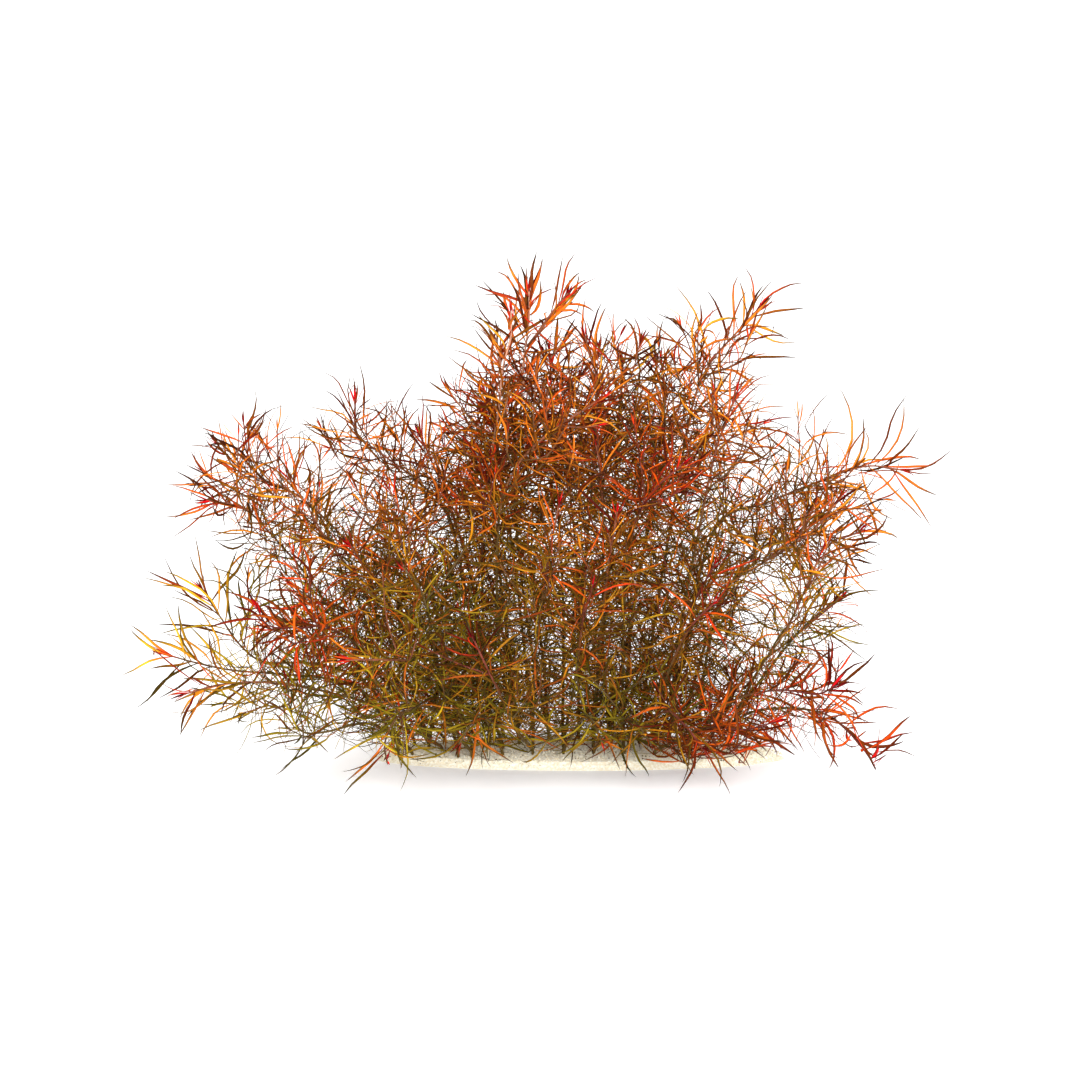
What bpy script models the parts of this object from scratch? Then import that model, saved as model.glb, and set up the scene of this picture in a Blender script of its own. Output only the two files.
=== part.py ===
# Ludwigia arcuata: a bush of needle-leaf stems planted in a low bank of sand.
# +X is the bush's long way, +Y its back, +Z up. The flat underside of the sand lies on z = 0.
# Sizes below are millimetres. The meshes are in metres.

import math

import bmesh
import bpy
import numpy as np
from mathutils import Matrix, Vector

MM = 0.001

# The sand bank: a low oval mound, flat underneath, whose height falls off as a power near its rim
SAND_MIDDLE = (8.0, 5.0)
SAND_HALF_LENGTH = 103.0
SAND_HALF_DEPTH = 29.0
SAND_HEIGHT = 9.0
SAND_FALL = 0.42
SAND_SIDES = 24
SAND_RINGS = 8

# Stems
STEM_RADIUS = 1.1
PLANTED_DEPTH = 2.0
COLLAR_HEIGHT = 2.0
FIT_GAP = 0.3
STEM_CLEARANCE = 0.8
CURVE_STEP = 2.0
LONGEST_BARE_RUN = 90.0

# Leaves: each whorl is a short band of the stem with a leaf on every face
WHORL_HEIGHT = 3.0
WHORLS_FROM_TIP = (5.0, 21.0, 40.0, 64.0)
FIRST_WHORL = 30.0
FIRST_FORK_WHORL = 7.0
LEAF_LENGTH = 30.0
SHORTEST_LEAF = 15.0
BUD_LENGTH = 9.0
LEAF_ROOT_RADIUS = 1.4
LEAF_TIP_RADIUS = 0.1
LEAF_CLEARANCE = 0.35
LEAF_TRIES = 40
TIP_DEPTH_SWING = 9.0
FLOOR_CLEARANCE = 1.0

# The view that the places below are measured in: millimetres across and up the picture plane,
# which stands through the origin and faces a camera tilted down a little
VIEW_DISTANCE = 1300.0
VIEW_TILT = math.radians(8.0)
VIEW_CENTRE = (-11.5, 110.0)

# Each stem: where it is planted (x, y), the way it grows as (across, up, depth behind the middle),
# and the leaf tips that stand out of the bush's outline as (across, up)
STEMS = {
    "stem_left_low_golden": {
        "root": (-82, 0),
        "way": [(-98, 32, -22), (-114, 40, -32), (-142, 43, -38), (-166, 45, -42), (-185, 49, -44),
                (-199, 53, -45)],
        "tips": [(-217, 68), (-222, 42), (-215, 25), (-208, 29), (-200, 63), (-199, 78), (-192, 79),
                 (-186, 59)],
    },
    "stem_left_low_orange": {
        "root": (-60, -7),
        "way": [(-95, 27, -46), (-118, 34, -58), (-133, 37, -62), (-155, 39, -66), (-174, 37, -68),
                (-189, 33, -70)],
        "tips": [(-196, 28), (-198, 25), (-191, 12), (-189, 21), (-177, 23), (-171, 22), (-161, 25),
                 (-188, 36)],
    },
    "stem_left_rising": {
        "root": (-82, 9),
        "way": [(-98, 38, 2), (-124, 48, -4), (-149, 49, -6), (-161, 57, -6), (-171, 71, -6),
                (-180, 85, -6)],
        "tips": [(-184, 114), (-187, 104), (-177, 100), (-158, 107), (-209, 95), (-211, 91),
                 (-200, 103), (-202, 87)],
    },
    "stem_left_red_star": {
        "root": (-67, 0),
        "way": [(-84, 40, -50), (-114, 65, -66), (-131, 66, -72), (-147, 67, -76), (-153, 76, -78)],
        "tips": [(-157, 98), (-141, 95), (-138, 85), (-143, 70), (-158, 60)],
    },
    "stem_left_inner": {
        "root": (-52, 9),
        "way": [(-74, 40, -4), (-104, 72, -20), (-124, 80, -30), (-135, 87, -34)],
        "tips": [(-134, 99), (-136, 76)],
    },
    "stem_left_upper": {
        "root": (-60, 18),
        "way": [(-88, 38, 18), (-114, 72, 18), (-127, 91, 14), (-147, 114, 10), (-160, 126, 8),
                (-178, 130, 4)],
        "tips": [(-195, 145), (-196, 137), (-182, 143), (-200, 122), (-196, 120), (-197, 110),
                 (-177, 110), (-159, 105)],
    },
    "stem_left_hooked": {
        "root": (-45, 18),
        "way": [(-76, 60, 26), (-102, 102, 24), (-131, 131, 18), (-150, 140, 14), (-161, 145, 12),
                (-173, 158, 10)],
        "tips": [(-181, 163), (-176, 151), (-148, 178), (-150, 173), (-124, 164), (-160, 157),
                 (-166, 140)],
    },
    "stem_left_upright": {
        "root": (-67, 9),
        "way": [(-82, 50, -14), (-102, 88, -26), (-120, 113, -34), (-129, 129, -36), (-138, 142, -38)],
        "tips": [(-140, 167), (-131, 168), (-131, 154), (-152, 150)],
    },
    "stem_left_arching": {
        "root": (-75, -7),
        "way": [(-96, 18, -46), (-119, 14, -64), (-130, 14, -68), (-136, 23, -70), (-138, 41, -72)],
        "tips": [(-145, -8), (-141, -5), (-140, 6), (-135, 2)],
    },
    "stem_front_yellow": {
        "root": (-45, -15),
        "way": [(-66, 26, -56), (-82, 22, -74), (-89, 9, -84), (-88, -1, -88)],
        "tips": [(-111, -6), (-109, -11), (-110, -18), (-82, -17), (-73, -9)],
    },
    "stem_front_left": {
        "root": (-30, -15),
        "way": [(-40, 22, -54), (-46, 18, -74), (-52, 8, -84)],
        "tips": [(-49, -9), (-36, -4), (-24, -2), (-56, 6)],
    },
    "stem_crown_left": {
        "root": (-30, 18),
        "way": [(-44, 60, 18), (-56, 119, 14), (-71, 138, 8), (-92, 154, 4), (-103, 163, 2),
                (-104, 180, 0)],
        "tips": [(-121, 194), (-120, 185), (-128, 177), (-131, 169), (-102, 200), (-105, 195),
                 (-88, 182), (-85, 182)],
    },
    "stem_crown_left_small": {
        "root": (-37, 9),
        "way": [(-42, 70, -18), (-54, 120, -34), (-66, 150, -42), (-72, 163, -44)],
        "tips": [(-79, 179), (-88, 180), (-71, 179)],
    },
    "stem_crown_left_red": {
        "root": (-15, 18),
        "way": [(-22, 80, 26), (-30, 140, 22), (-35, 170, 14), (-40, 186, 10)],
        "tips": [(-64, 187), (-55, 189), (-55, 185), (-48, 192)],
    },
    "stem_top": {
        "root": (-7, 9),
        "way": [(-18, 70, 8), (-24, 130, 4), (-21, 175, 0), (-20, 197, -2), (-17, 219, -4),
                (-17, 236, -4)],
        "tips": [(-47, 224), (-45, 217), (-45, 238), (-41, 232), (-35, 244), (-28, 252), (-22, 248),
                 (-13, 255)],
    },
    "stem_top_branch": {
        "from": "stem_top",
        "way": [(-19, 205, -4), (-12, 214, -9), (-6, 223, -12), (2, 233, -14)],
        "tips": [(-5, 241), (0, 253), (7, 254), (8, 244), (12, 240), (18, 242), (7, 230), (10, 222),
                 (16, 223)],
    },
    "stem_top_second": {
        "root": (-22, 9),
        "way": [(-30, 80, -24), (-36, 140, -22), (-32, 176, -16), (-30, 196, -14), (-26, 212, -12),
                (-26, 224, -12)],
        "tips": [(-60, 212), (-59, 204), (-57, 205), (-51, 198), (-51, 193), (-43, 223), (-42, 241)],
    },
    "stem_top_right": {
        "root": (8, 9),
        "way": [(8, 70, -12), (14, 130, -24), (17, 187, -28), (13, 203, -28), (11, 212, -28)],
        "tips": [(12, 232), (11, 221), (22, 227), (17, 217), (6, 216), (25, 213)],
    },
    "stem_top_back_red": {
        "root": (0, 18),
        "way": [(0, 80, 34), (-4, 150, 34), (-6, 192, 28), (-7, 205, 26)],
        "tips": [(-14, 218), (2, 214)],
    },
    "stem_centre_leaning": {
        "root": (-22, 0),
        "way": [(-32, 60, -40), (-32, 120, -60), (-24, 145, -64), (-11, 160, -68), (4, 171, -70),
                (20, 181, -72)],
        "tips": [(45, 201), (41, 196), (30, 199), (34, 184)],
    },
    "stem_top_yellow": {
        "root": (15, 18),
        "way": [(22, 80, 26), (26, 140, 24), (29, 180, 20), (30, 199, 18)],
        "tips": [(33, 213), (28, 207), (31, 204), (24, 192)],
    },
    "stem_right_upright_red": {
        "root": (23, 9),
        "way": [(36, 80, 14), (46, 140, 12), (51, 180, 8), (49, 199, 6)],
        "tips": [(47, 206), (37, 202), (56, 190)],
    },
    "stem_crown_right": {
        "root": (38, 9),
        "way": [(46, 70, 0), (56, 130, -6), (65, 178, -8), (74, 199, -8), (88, 215, -8), (99, 227, -8)],
        "tips": [(90, 247), (89, 243), (93, 236), (101, 238), (105, 233), (71, 236), (55, 239),
                 (40, 224), (45, 209), (62, 217), (46, 201), (121, 238), (122, 226), (111, 212),
                 (118, 209), (80, 194)],
    },
    "stem_crown_right_small": {
        "root": (53, 0),
        "way": [(58, 60, -26), (68, 115, -38), (76, 153, -44), (81, 168, -46), (87, 184, -46)],
        "tips": [(93, 206), (85, 202), (106, 193), (98, 184), (113, 176), (119, 172), (112, 166),
                 (100, 189)],
    },
    "stem_right_long": {
        "root": (53, 9),
        "way": [(62, 60, 8), (76, 116, 8), (103, 129, 6), (135, 142, 2), (153, 147, 0), (169, 145, -2)],
        "tips": [(137, 187), (150, 173), (153, 168), (173, 184), (175, 161), (179, 168), (195, 156),
                 (188, 150), (188, 132), (187, 144), (185, 115), (165, 115), (108, 170), (97, 158)],
    },
    "stem_right_middle": {
        "root": (68, 0),
        "way": [(70, 40, -24), (80, 83, -36), (99, 98, -44), (124, 114, -50), (138, 131, -52)],
        "tips": [(128, 152), (142, 141), (152, 140), (157, 130)],
    },
    "stem_right_orange": {
        "root": (60, 18),
        "way": [(72, 60, 24), (92, 100, 24), (121, 112, 18), (139, 111, 14), (150, 115, 12)],
        "tips": [(151, 129), (160, 131), (162, 124), (168, 110)],
    },
    "stem_right_crimson_star": {
        "root": (83, 0),
        "way": [(88, 26, -38), (99, 47, -54), (111, 64, -64), (121, 85, -68), (130, 106, -70)],
        "tips": [(154, 91), (163, 96), (159, 101), (149, 85)],
    },
    "stem_right_olive": {
        "root": (83, 9),
        "way": [(92, 30, 0), (108, 52, -6), (121, 67, -10), (138, 81, -12)],
        "tips": [(160, 84), (144, 59), (154, 48), (156, 57), (130, 88)],
    },
    "stem_right_low_red": {
        "root": (60, -7),
        "way": [(76, 22, -50), (88, 31, -62), (108, 35, -72), (127, 33, -78), (136, 37, -80)],
        "tips": [(138, 57), (132, 65), (133, 62), (150, 38), (132, 23), (126, 51)],
    },
    "stem_right_drooping": {
        "root": (75, -7),
        "way": [(90, 22, -36), (110, 26, -48), (131, 23, -56), (144, 13, -62), (152, 3, -66),
                (156, -4, -68)],
        "tips": [(176, 14), (171, 10), (169, 25), (158, 0), (157, -6), (138, -4), (135, 6), (121, 3),
                 (118, 4)],
    },
    "stem_right_bright_star": {
        "root": (45, -15),
        "way": [(72, 16, -66), (90, 15, -80), (106, 19, -86)],
        "tips": [(94, -6), (107, 1), (118, 24), (88, 6)],
    },
    "stem_front_right": {
        "root": (30, -15),
        "way": [(50, 24, -62), (62, 16, -80), (71, 4, -88)],
        "tips": [(84, -20), (57, -17), (78, -14), (63, 17)],
    },
    "stem_front_middle": {
        "root": (15, -15),
        "way": [(33, 20, -58), (44, 8, -78)],
        "tips": [(31, -9), (37, -9), (43, -9)],
    },
    "stem_front_centre": {
        "root": (0, -15),
        "way": [(12, 22, -58), (20, 8, -78)],
        "tips": [(29, -6), (3, -5)],
    },
    "stem_face_crimson": {
        "root": (0, -7),
        "way": [(6, 40, -50), (10, 70, -78), (15, 87, -96)],
        "tips": [(27, 95), (11, 94), (-2, 72), (36, 74)],
    },
    "stem_face_left": {
        "root": (-30, -7),
        "way": [(-42, 40, -44), (-47, 66, -66), (-52, 76, -80)],
        "tips": [(-56, 90), (-44, 62)],
    },
    "stem_face_low_red": {
        "root": (-15, -15),
        "way": [(-24, 16, -52), (-31, 32, -72), (-38, 46, -86), (-45, 61, -94)],
        "tips": [(-28, 44), (-40, 36), (-52, 52)],
    },
    "stem_face_low_orange": {
        "root": (-45, -7),
        "way": [(-58, 34, -52), (-72, 48, -70), (-89, 50, -84), (-108, 50, -92)],
        "tips": [(-120, 46), (-96, 62), (-84, 38)],
    },
    "stem_face_right": {
        "root": (45, -7),
        "way": [(50, 36, -46), (62, 64, -70), (76, 79, -86)],
        "tips": [(88, 84), (70, 92), (60, 76)],
    },
    "stem_face_right_high": {
        "root": (30, -7),
        "way": [(30, 60, -44), (34, 110, -64), (44, 133, -74), (60, 148, -82)],
        "tips": [(61, 156), (73, 148), (66, 140)],
    },
    "stem_face_top": {
        "root": (23, 0),
        "way": [(20, 60, -26), (20, 120, -42), (18, 150, -50), (17, 166, -54)],
        "tips": [(22, 178), (8, 176)],
    },
    "stem_face_middle": {
        "root": (15, -7),
        "way": [(18, 56, -46), (22, 92, -72), (27, 124, -88)],
        "tips": [(36, 134), (16, 132)],
    },
    "stem_face_middle_left": {
        "root": (-15, -7),
        "way": [(-14, 50, -50), (-8, 96, -76), (-2, 128, -90)],
        "tips": [(-12, 140), (8, 138)],
    },
    "stem_right_mid_red": {
        "root": (38, 0),
        "way": [(52, 46, -24), (64, 76, -46), (76, 98, -66)],
        "tips": [(88, 106), (72, 112), (84, 92)],
    },
    "stem_face_upper_left": {
        "root": (-37, 0),
        "way": [(-40, 70, -24), (-40, 120, -48), (-36, 150, -60)],
        "tips": [(-44, 164), (-28, 162)],
    },
    "stem_left_face_high": {
        "root": (-52, 0),
        "way": [(-60, 60, -34), (-74, 106, -56), (-87, 136, -66)],
        "tips": [(-96, 150), (-80, 152), (-100, 136)],
    },
    "stem_left_face": {
        "root": (-67, 18),
        "way": [(-64, 56, -2), (-92, 88, -44), (-107, 108, -64)],
        "tips": [(-118, 116), (-106, 122), (-116, 102)],
    },
    "stem_left_face_low": {
        "root": (-52, -14),
        "way": [(-63, 50, -55), (-70, 82, -80), (-80, 96, -90)],
        "tips": [(-92, 100), (-78, 112)],
    },
    "stem_back_left": {
        "root": (-75, 18),
        "way": [(-94, 40, 36), (-124, 60, 54), (-146, 74, 64)],
        "tips": [],
    },
    "stem_back_left_high": {
        "root": (-37, 26),
        "way": [(-56, 66, 50), (-84, 104, 70), (-104, 124, 80)],
        "tips": [],
    },
    "stem_back_crown_left": {
        "root": (-22, 26),
        "way": [(-34, 80, 54), (-50, 130, 70), (-60, 158, 76)],
        "tips": [],
    },
    "stem_back_middle": {
        "root": (-7, 26),
        "way": [(-10, 50, 60), (-14, 84, 82), (-18, 106, 94)],
        "tips": [],
    },
    "stem_back_crown": {
        "root": (8, 26),
        "way": [(8, 80, 52), (4, 130, 66), (0, 168, 72)],
        "tips": [],
    },
    "stem_back_crown_right": {
        "root": (30, 18),
        "way": [(36, 80, 44), (46, 130, 58), (54, 164, 62)],
        "tips": [],
    },
    "stem_back_right_high": {
        "root": (45, 18),
        "way": [(60, 60, 46), (84, 106, 66), (98, 132, 74)],
        "tips": [],
    },
    "stem_back_right": {
        "root": (75, 18),
        "way": [(90, 40, 38), (116, 62, 56), (138, 80, 62)],
        "tips": [],
    },
    "stem_back_low": {
        "root": (23, 26),
        "way": [(34, 40, 58), (46, 60, 80), (54, 76, 92)],
        "tips": [],
    },
}

# Colours run from olive low in the bush to rust and orange at its top
OLIVE = (0.10, 0.085, 0.02)
RUST = (0.42, 0.10, 0.025)
SAND_COLOUR = (0.78, 0.72, 0.60)


def spot(across, up, depth):
    """The real place of a point seen at (across, up) that lies at this depth behind the middle."""
    z = 0.0
    for _ in range(6):
        away = depth * math.cos(VIEW_TILT) - z * math.sin(VIEW_TILT)
        shrink = 1 + away / VIEW_DISTANCE
        x = VIEW_CENTRE[0] + (across - VIEW_CENTRE[0]) * shrink
        seen_up = VIEW_CENTRE[1] + (up - VIEW_CENTRE[1]) * shrink
        z = (seen_up - depth * math.sin(VIEW_TILT)) / math.cos(VIEW_TILT)
    return np.array((x, depth, z))


def sand_top(x, y):
    """Height of the sand here, or 0 beside it."""
    along = (x - SAND_MIDDLE[0]) / SAND_HALF_LENGTH
    back = (y - SAND_MIDDLE[1]) / SAND_HALF_DEPTH
    inside = 1 - along**2 - back**2
    return SAND_HEIGHT * max(inside, 0.0) ** SAND_FALL


def smooth_way(points):
    """Points about CURVE_STEP apart on a Catmull-Rom curve through these."""
    points = np.asarray(points, float)
    padded = np.vstack((2 * points[0] - points[1], points, 2 * points[-1] - points[-2]))
    way = [points[0]]
    for a, b, c, d in zip(padded, padded[1:], padded[2:], padded[3:]):
        count = max(2, round(float(np.linalg.norm(c - b)) / CURVE_STEP))
        for t in np.arange(1, count + 1) / count:
            way.append(0.5 * (2 * b + (c - a) * t + (2 * a - 5 * b + 4 * c - d) * t**2
                              + (3 * b - a - 3 * c + d) * t**3))
    return np.array(way)


def along(way):
    """Each point's distance along the way."""
    return np.concatenate(([0.0], np.cumsum(np.linalg.norm(np.diff(way, axis=0), axis=1))))


def point_at(way, distance):
    marks = along(way)
    return np.array([np.interp(distance, marks, way[:, axis]) for axis in range(3)])


def nearest(start, run, starts, runs):
    """Closest approach of one segment to many: how far along each, and the distance."""
    offset = start - starts
    a = max(float(run @ run), 1e-9)
    e = np.maximum(np.einsum("ij,ij->i", runs, runs), 1e-9)
    b = runs @ run
    c = offset @ run
    f = np.einsum("ij,ij->i", runs, offset)
    s = np.clip((b * f - c * e) / np.maximum(a * e - b * b, 1e-9), 0, 1)
    t = np.clip((b * s + f) / e, 0, 1)
    s = np.clip((b * t - c) / a, 0, 1)
    gap = offset + s[:, None] * run - t[:, None] * runs
    return s, t, np.linalg.norm(gap, axis=1)


def ring_marks(length, planted):
    """Distances along a stem of this length of all its rings, and the number of each whorl's lower ring."""
    lowest = FIRST_WHORL if planted else FIRST_FORK_WHORL
    whorls = [length - back for back in reversed(WHORLS_FROM_TIP) if length - back > lowest]
    marks = [0.0]
    if planted:
        marks.append(PLANTED_DEPTH + COLLAR_HEIGHT)
    low_rings = []
    for stop in whorls + [length]:
        edge = stop - WHORL_HEIGHT / 2 if stop < length else length
        run = edge - marks[-1]
        pieces = max(1, math.ceil(run / LONGEST_BARE_RUN))
        marks += [marks[-1] + run * k / pieces for k in range(1, pieces + 1)]
        if stop < length:
            low_rings.append(len(marks) - 1)
            marks.append(stop + WHORL_HEIGHT / 2)
    return marks, low_rings


class Crowd:
    """The segments placed so far, with their radii, so that nothing grows through anything else."""

    def __init__(self):
        self.starts = np.empty((0, 3))
        self.runs = np.empty((0, 3))
        self.radii = np.empty((0, 2))
        self.owners = np.empty(0, int)

    def add(self, starts, ends, radii, owner):
        self.starts = np.vstack((self.starts, starts))
        self.runs = np.vstack((self.runs, np.subtract(ends, starts)))
        self.radii = np.vstack((self.radii, np.tile(radii, (len(starts), 1))))
        self.owners = np.append(self.owners, np.full(len(starts), owner))

    def is_clear(self, start, end, radii, margin, skip):
        """True where the segment keeps the margin from all segments but those whose owner is in skip."""
        if not len(self.starts):
            return True
        s, t, distance = nearest(np.asarray(start), np.subtract(end, start), self.starts, self.runs)
        own = radii[0] + (radii[1] - radii[0]) * s
        other = self.radii[:, 0] + (self.radii[:, 1] - self.radii[:, 0]) * t
        close = distance < own + other + margin
        return not (close & ~np.isin(self.owners, skip)).any()


def stem_way(stem, ways):
    """The stem's curve, from the sand or from the fork that it leaves."""
    points = [spot(*place) for place in stem["way"]]
    if "from" in stem:
        parent = ways[stem["from"]]
        fork = parent[np.argmin(np.linalg.norm(parent - points[0], axis=1))]
        aside = points[1] - fork
        reach = 2 * STEM_RADIUS + 2 * FIT_GAP
        start = fork + aside * reach / np.linalg.norm(aside)
        return smooth_way([start] + points[1:])
    x, y = stem["root"]
    foot = np.array((x, y, sand_top(x, y) - PLANTED_DEPTH))
    collar = np.array((x, y, sand_top(x, y) + COLLAR_HEIGHT))
    return np.vstack((foot, smooth_way([collar] + points)))


def place_stems():
    """Every stem's rings and whorls, and the crowd that holds the bare stems."""
    crowd = Crowd()
    ways = {}
    stems = {}
    bare = (STEM_RADIUS, STEM_RADIUS)
    for number, (name, stem) in enumerate(STEMS.items()):
        way = stem_way(stem, ways)
        marks, low_rings = ring_marks(along(way)[-1], "root" in stem)
        rings = np.array([point_at(way, mark) for mark in marks])
        skip = [list(STEMS).index(stem["from"])] if "from" in stem else []
        for start, end in zip(rings, rings[1:]):
            if not crowd.is_clear(start, end, bare, STEM_CLEARANCE, skip):
                print(f"{name} runs too close to another stem")
        crowd.add(rings[:-1], rings[1:], bare, number)
        ways[name] = way
        stems[name] = (rings, low_rings)
    return stems, crowd


def tube(name, points, radius):
    """A four-sided tube through the points, as a closed mesh in a bmesh, in millimetres."""
    curve = bpy.data.curves.new(name + "_line", "CURVE")
    curve.dimensions = "3D"
    curve.bevel_depth = radius
    curve.bevel_resolution = 0
    curve.use_fill_caps = True
    curve.twist_mode = "MINIMUM"
    spline = curve.splines.new("POLY")
    spline.points.add(len(points) - 1)
    for control, point in zip(spline.points, points):
        control.co = (*point, 1)
    line = bpy.data.objects.new(name + "_line", curve)
    bpy.context.scene.collection.objects.link(line)
    bpy.context.view_layer.update()
    mesh = bpy.data.meshes.new_from_object(line.evaluated_get(bpy.context.evaluated_depsgraph_get()))
    bpy.data.objects.remove(line)
    bm = bmesh.new()
    bm.from_mesh(mesh)
    bpy.data.meshes.remove(mesh)
    bmesh.ops.remove_doubles(bm, verts=bm.verts, dist=0.01)
    bmesh.ops.recalc_face_normals(bm, faces=bm.faces)
    return bm


def ring_of(vertex, rings):
    return int(np.argmin(np.linalg.norm(rings - np.array(vertex.co), axis=1)))


def leaf_places(bm, rings, low_rings):
    """The triangles of the whorls' bands, each with its whorl's number, whether it is upper, and the way up."""
    bands = {}
    for face in bm.faces:
        found = {ring_of(v, rings) for v in face.verts}
        if len(found) == 2 and min(found) in low_rings and max(found) == min(found) + 1:
            bands[face] = min(found)
    cut = bmesh.ops.triangulate(bm, faces=list(bands))["faces"]
    places = []
    for face in cut:
        low = min(ring_of(v, rings) for v in face.verts)
        grows = rings[low + 1] - rings[low]
        upper = sum(ring_of(v, rings) > low for v in face.verts) == 2
        places.append((face, low_rings.index(low), upper, grows / np.linalg.norm(grows)))
    return places


def turned(vector, axis, angle):
    return np.array(Matrix.Rotation(angle, 3, Vector(axis)) @ Vector(vector))


def leaf_ends(face, upper, grows, whorls_down, dice):
    """Ends to try for a leaf on this face: longest and truest to the plant first."""
    base = np.array(face.calc_center_median())
    out = np.array(face.normal)
    spread = math.radians(32 + 9 * whorls_down + (0 if upper else 22))
    for attempt in range(LEAF_TRIES):
        loose = 0.3 + attempt / LEAF_TRIES
        lean = spread + dice.uniform(-0.3, 0.3) * loose
        side = turned(out, grows, dice.uniform(-0.6, 0.6) * loose)
        length = (LEAF_LENGTH + dice.uniform(-4, 4)) * (1 - 0.45 * attempt / LEAF_TRIES)
        yield base, base + length * (math.cos(lean) * grows + math.sin(lean) * side)


def is_over_ground(base, end):
    """True where the leaf keeps above the floor and the sand."""
    for part in (0.35, 0.7, 1.0):
        x, y, z = base + part * (end - base)
        if z < sand_top(x, y) + FLOOR_CLEARANCE:
            return False
    return True


def grow_leaf(bm, face, end):
    """Draws the face out to a point at end."""
    centre = bmesh.ops.poke(bm, faces=[face])["verts"][0]
    centre.co = end


def wanted_ends(stem, rings):
    """The listed leaf tips as real places, swung before and behind the stem."""
    ends = []
    for number, (across, up) in enumerate(stem["tips"]):
        depth = rings[-1][1]
        rough = spot(across, up, depth)
        depth = rings[np.argmin(np.linalg.norm(rings - rough, axis=1))][1]
        ends.append(spot(across, up, depth + TIP_DEPTH_SWING * math.sin(2.4 * number)))
    return ends


def model_stem(number, name, rings, low_rings, crowd):
    """One stem with its leaves. Leaf owners in the crowd are told apart by whorl."""
    bm = tube(name, rings, STEM_RADIUS)
    dice = np.random.default_rng(number)
    free = leaf_places(bm, rings, low_rings)
    leaf_radii = (LEAF_ROOT_RADIUS, LEAF_TIP_RADIUS)

    def owner(whorl):
        return 1000 + 10 * number + whorl

    def settle(place, base, end):
        grow_leaf(bm, place[0], end)
        crowd.add([base], [end], leaf_radii, owner(place[1]))

    for end in wanted_ends(STEMS[name], rings):
        fits = []
        for place in free:
            base = np.array(place[0].calc_center_median())
            reach = end - base
            length = np.linalg.norm(reach)
            facing = float(reach @ np.array(place[0].normal)) / length
            if SHORTEST_LEAF < length < 1.5 * LEAF_LENGTH and facing > 0.15 and is_over_ground(base, end):
                fits.append((abs(length - LEAF_LENGTH) - 12 * facing, place, base))
        for _, place, base in sorted(fits, key=lambda fit: fit[0]):
            if crowd.is_clear(base, end, leaf_radii, LEAF_CLEARANCE, (number, owner(place[1]))):
                settle(place, base, end)
                free.remove(place)
                break
    for place in free:
        face, whorl, upper, grows = place
        for base, end in leaf_ends(face, upper, grows, len(low_rings) - 1 - whorl, dice):
            clear = is_over_ground(base, end)
            if clear and crowd.is_clear(base, end, leaf_radii, LEAF_CLEARANCE, (number, owner(whorl))):
                settle(place, base, end)
                break
    cut_end = min(bm.faces, key=lambda face: (face.calc_center_median() - Vector(rings[-1])).length)
    grows = (rings[-1] - rings[-2]) / np.linalg.norm(rings[-1] - rings[-2])
    grow_leaf(bm, cut_end, rings[-1] + BUD_LENGTH * grows)
    return bm


def material(name, colour, roughness):
    made = bpy.data.materials.new(name)
    made.use_nodes = True
    shader = made.node_tree.nodes["Principled BSDF"]
    shader.inputs["Base Color"].default_value = (*colour, 1)
    shader.inputs["Roughness"].default_value = roughness
    shader.inputs["Metallic"].default_value = 0
    made.diffuse_color = (*colour, 1)
    return made


def add_object(name, bm, collection, made_of=None):
    """Turns the millimetre bmesh into an object in metres."""
    bmesh.ops.scale(bm, vec=(MM, MM, MM), verts=bm.verts)
    mesh = bpy.data.meshes.new(name)
    bm.to_mesh(mesh)
    bm.free()
    obj = bpy.data.objects.new(name, mesh)
    if made_of:
        mesh.materials.append(made_of)
    collection.objects.link(obj)
    return obj


def model_sand(collection, cutters, stems):
    """A low mound, flat underneath, with a hole for each planted stem."""
    bm = bmesh.new()
    bmesh.ops.create_uvsphere(bm, u_segments=SAND_SIDES, v_segments=SAND_RINGS, radius=1)
    bmesh.ops.scale(bm, vec=(SAND_HALF_LENGTH, SAND_HALF_DEPTH, 1), verts=bm.verts)
    bmesh.ops.translate(bm, vec=(*SAND_MIDDLE, 0), verts=bm.verts)
    for vertex in bm.verts:
        vertex.co.z = math.copysign(sand_top(vertex.co.x, vertex.co.y), vertex.co.z)
    whole = list(bm.verts) + list(bm.edges) + list(bm.faces)
    bmesh.ops.bisect_plane(bm, geom=whole, plane_co=(0, 0, 0), plane_no=(0, 0, -1), clear_outer=True)
    bmesh.ops.holes_fill(bm, edges=[e for e in bm.edges if e.is_boundary])
    sand = add_object("sand_bed", bm, collection, material("sand", SAND_COLOUR, 0.95))

    holes = bmesh.new()
    for name, (rings, _) in stems.items():
        if "root" not in STEMS[name]:
            continue
        foot = rings[0]
        low = foot - (0, 0, FIT_GAP)
        high = foot + (0, 0, PLANTED_DEPTH + COLLAR_HEIGHT)
        one = tube(name + "_hole", [low, high], STEM_RADIUS + math.sqrt(2) * FIT_GAP)
        mesh = bpy.data.meshes.new(name + "_hole")
        one.to_mesh(mesh)
        one.free()
        holes.from_mesh(mesh)
        bpy.data.meshes.remove(mesh)
    cutter = add_object("planting_holes", holes, cutters)
    cutter.hide_render = True
    cutter.display_type = "WIRE"
    cut = sand.modifiers.new("planting_holes", "BOOLEAN")
    cut.operation = "DIFFERENCE"
    cut.solver = "EXACT"
    cut.object = cutter


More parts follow.
